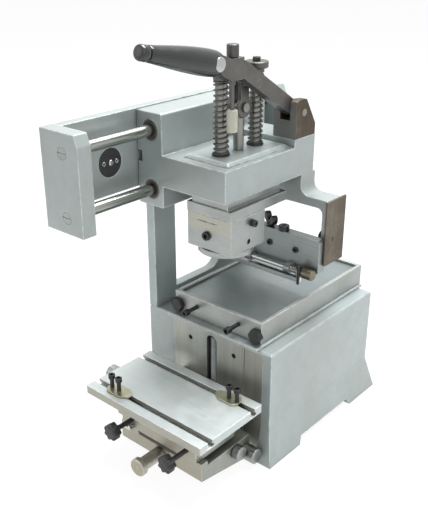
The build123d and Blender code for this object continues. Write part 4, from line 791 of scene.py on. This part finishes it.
# Post springs with closed end turns, built at one length; on the machine the caps press them together as the
# head comes down
springLook = {"radius": 0.00945, "wire": 0.0022, "low": 0.4326, "high": 0.5297, "closedPitch": 0.0023,
              "coils": 13, "stepsPerTurn": 32, "wireSegments": 12, "sharp": 60.0, "stroke": 0.0232}
springTall = springLook["high"] - springLook["low"]


def coiledSpring(look):
    shape = bmesh.new()
    last = bmesh.ops.create_circle(shape, segments=look["wireSegments"], radius=look["wire"] / 2.0)["verts"]
    moved(shape, Matrix.Translation((look["radius"], 0.0, look["low"] + look["wire"] / 2.0))
          @ Matrix.Rotation(math.radians(90.0), 4, "X"))
    last += shape.edges[:]
    openPitch = (springTall - look["wire"] - 2.0 * look["closedPitch"]) / look["coils"]
    for turns, pitch in ((1, look["closedPitch"]), (look["coils"], openPitch), (1, look["closedPitch"])):
        made = bmesh.ops.spin(shape, geom=last, cent=(0.0, 0.0, 0.0), axis=(0.0, 0.0, 1.0),
                              dvec=(0.0, 0.0, pitch / look["stepsPerTurn"]), angle=2.0 * math.pi * turns,
                              steps=turns * look["stepsPerTurn"], use_merge=False, use_normal_flip=False,
                              use_duplicate=False)
        last = [item for item in made["geom_last"] if not isinstance(item, bmesh.types.BMFace)]
    bmesh.ops.holes_fill(shape, edges=shape.edges[:], sides=0)
    return shape


springs = [moved(coiledSpring(springLook), upright(place(0.0, postY, 0.0))) for postY in postYs]
springPiece = newPiece("post_spring_coils", joinShapes(springs), "carriage", springSteel,
                       springLook["sharp"])
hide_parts("post_springs")
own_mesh(springPiece)

# Bright index block on the front of the saddle, with a notch in its top
indexLook = {"low": place(-0.060, -0.2565, 0.0502), "high": place(-0.0465, -0.2478, 0.0572),
             "notchWide": 0.0045, "notchDeep": 0.0035, "bevel": 0.0006, "bevelSegments": 2}
low, high = indexLook["low"], indexLook["high"]
notchLeft = (low.x + high.x - indexLook["notchWide"]) / 2.0
notchRight = notchLeft + indexLook["notchWide"]
notchFloor = high.z - indexLook["notchDeep"]
indexBlock = drawnShape([(low.x, low.z), (high.x, low.z), (high.x, high.z), (notchRight, high.z),
                         (notchRight, notchFloor), (notchLeft, notchFloor), (notchLeft, high.z),
                         (low.x, high.z)], low.y, high.y)
roundEdges(indexBlock, indexLook["bevel"], indexLook["bevelSegments"])
newPiece("index_block", indexBlock, "saddle", brightSteel)

# Thin dark joints round the slotted screws in the end blocks
jointLook = {"faces": ((-0.304, True), (0.109, False)),
             "outline": [(0.0079, -0.0004), (0.0079, 0.00004), (0.0081, 0.00008), (0.0083, 0.00004),
                         (0.0083, -0.0004)]}
jointRings = []
for rodZ in rodHeights:
    for faceY, flip in jointLook["faces"]:
        jointRings.append(moved(ringShape(jointLook["outline"]), alongY(place(rodX, faceY, rodZ), flip)))
newPiece("end_screw_joints", joinShapes(jointRings), "frame", blackScrew)

# Lobed knobs with their shafts at the saddle's front
starLook = {"long": 0.0142, "round": 0.0032, "lobes": 7, "middle": 0.0113, "swing": 0.0012, "segments": 112,
            "endShares": [0.0, 0.012, 0.04, 0.09, 0.15, 0.225], "hubSegments": 40,
            "hub": [(0.0, -0.0006), (0.0050, -0.0006), (0.0056, 0.0), (0.0056, 0.0022), (0.0050, 0.0030),
                    (0.0035, 0.0030), (0.0035, 0.0436), (0.0, 0.0436)]}


def starRadius(angle, height):
    half = starLook["long"] / 2.0
    past = max(0.0, abs(height - half) - (half - starLook["round"])) / starLook["round"]
    lobed = starLook["middle"] + starLook["swing"] * math.cos(starLook["lobes"] * angle)
    return lobed - starLook["round"] * (1.0 - math.sqrt(max(0.0, 1.0 - past * past)))


starShares = starLook["endShares"] + [0.5] + [1.0 - share for share in reversed(starLook["endShares"])]
starHeights = [starLook["long"] * share for share in starShares]
for side in ("left", "right"):
    knobLow, knobMiddle = lowAndMiddle("front_knob_" + side)
    knobBack = Vector((knobMiddle.x, knobLow.y + starLook["long"], knobMiddle.z))
    star = moved(wavedShape(starHeights, starLook["segments"], starRadius), alongY(knobBack, True))
    hub = moved(turnedShape(starLook["hub"], starLook["hubSegments"]), alongY(knobBack))
    knob = newPiece("star_knob_" + side, joinShapes([star, hub]), "front_lock_" + side,
                    knobPlastic)
    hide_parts("front_knob_" + side)

# Wing screw: round shank and hub with two thick rounded ears
wingLook = {"place": place(-0.001, 0.0017, 0.2985), "turn": -29.0, "thick": 0.0084, "bevel": 0.0029,
            "bevelSegments": 3, "shankSegments": 40, "sharp": 40.0,
            "ear": [(0.0, 0.0006), (0.0058, 0.0006), (0.0072, 0.0030), (0.0104, 0.0044), (0.0138, 0.0070),
                    (0.0160, 0.0108), (0.0163, 0.0150), (0.0146, 0.0184), (0.0112, 0.0194), (0.0080, 0.0184),
                    (0.0060, 0.0152), (0.0040, 0.0118), (0.0, 0.0104)],
            "shank": [(0.0, -0.014), (0.0026, -0.014), (0.0030, -0.0135), (0.0030, 0.0004), (0.0054, 0.0004),
                      (0.0054, 0.0070), (0.0046, 0.0100), (0.0, 0.0106)]}
wingShapes = [turnedShape(wingLook["shank"], wingLook["shankSegments"])]
halfThick = wingLook["thick"] / 2.0
for side in (1.0, -1.0):
    ear = drawnShape([(side * x, z) for x, z in wingLook["ear"]], -halfThick, halfThick)
    wingShapes.append(roundEdges(ear, wingLook["bevel"], wingLook["bevelSegments"]))
wingPlace = Matrix.Translation(wingLook["place"]) @ Matrix.Rotation(math.radians(wingLook["turn"]), 4, "Z")
wingPiece = newPiece("wing_screw_ears", moved(joinShapes(wingShapes), wingPlace), "wing_screw",
                     blackScrew, wingLook["sharp"])
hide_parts("wing_screw")

# Flood unit: black drop pin and its collar
floodLook = {"pinX": 0.0665, "pinY": -0.0198, "collarX": 0.0660, "springX": 0.0508, "shaftY": -0.015,
             "shaftZ": 0.249, "pinSegments": 32, "collarSegments": 40,
             "pin": [(0.0, 0.2305), (0.0016, 0.2305), (0.0022, 0.2311), (0.0022, 0.2540), (0.0036, 0.2545),
                     (0.0036, 0.2600), (0.0030, 0.2608), (0.0, 0.2608)],
             "collar": [(0.0, 0.0), (0.0058, 0.0), (0.0064, 0.0006), (0.0064, 0.0054), (0.0058, 0.0060),
                        (0.0, 0.0060)]}
dropPin = moved(turnedShape(floodLook["pin"], floodLook["pinSegments"]),
                upright(place(floodLook["pinX"], floodLook["pinY"], 0.0)))
pinCollar = moved(turnedShape(floodLook["collar"], floodLook["collarSegments"]),
                  alongX(place(floodLook["collarX"], floodLook["shaftY"], floodLook["shaftZ"])))
newPiece("flood_drop_pin", joinShapes([dropPin, pinCollar]), "flood_unit", blackScrew)

# Flood unit: short spring on the pivot shaft
coilLook = {"radius": 0.0048, "depth": 0.0012, "pitch": 0.0018, "low": 0.0, "high": 0.0072}
coilPlace = alongX(place(floodLook["springX"], floodLook["shaftY"], floodLook["shaftZ"]))
newPiece("flood_spring", moved(screwThread(coilLook), coilPlace), "flood_unit", rodSteel)

# Black strip in the gap between knee and saddle, standing in for the shade in that gap: painted shade
stripLook = {"low": place(-0.038, -0.2475, 0.04305), "high": place(0.042, -0.2435, 0.0496), "bevel": 0.0005,
             "bevelSegments": 2}
strip = bmesh.new()
bmesh.ops.create_cube(strip, size=1.0)
bmesh.ops.scale(strip, vec=stripLook["high"] - stripLook["low"], verts=strip.verts)
bmesh.ops.translate(strip, vec=(stripLook["high"] + stripLook["low"]) / 2.0, verts=strip.verts)
roundEdges(strip, stripLook["bevel"], stripLook["bevelSegments"])
newPiece("knee_wiper_strip", strip, "knee", sealRubber)
print("pieces made")
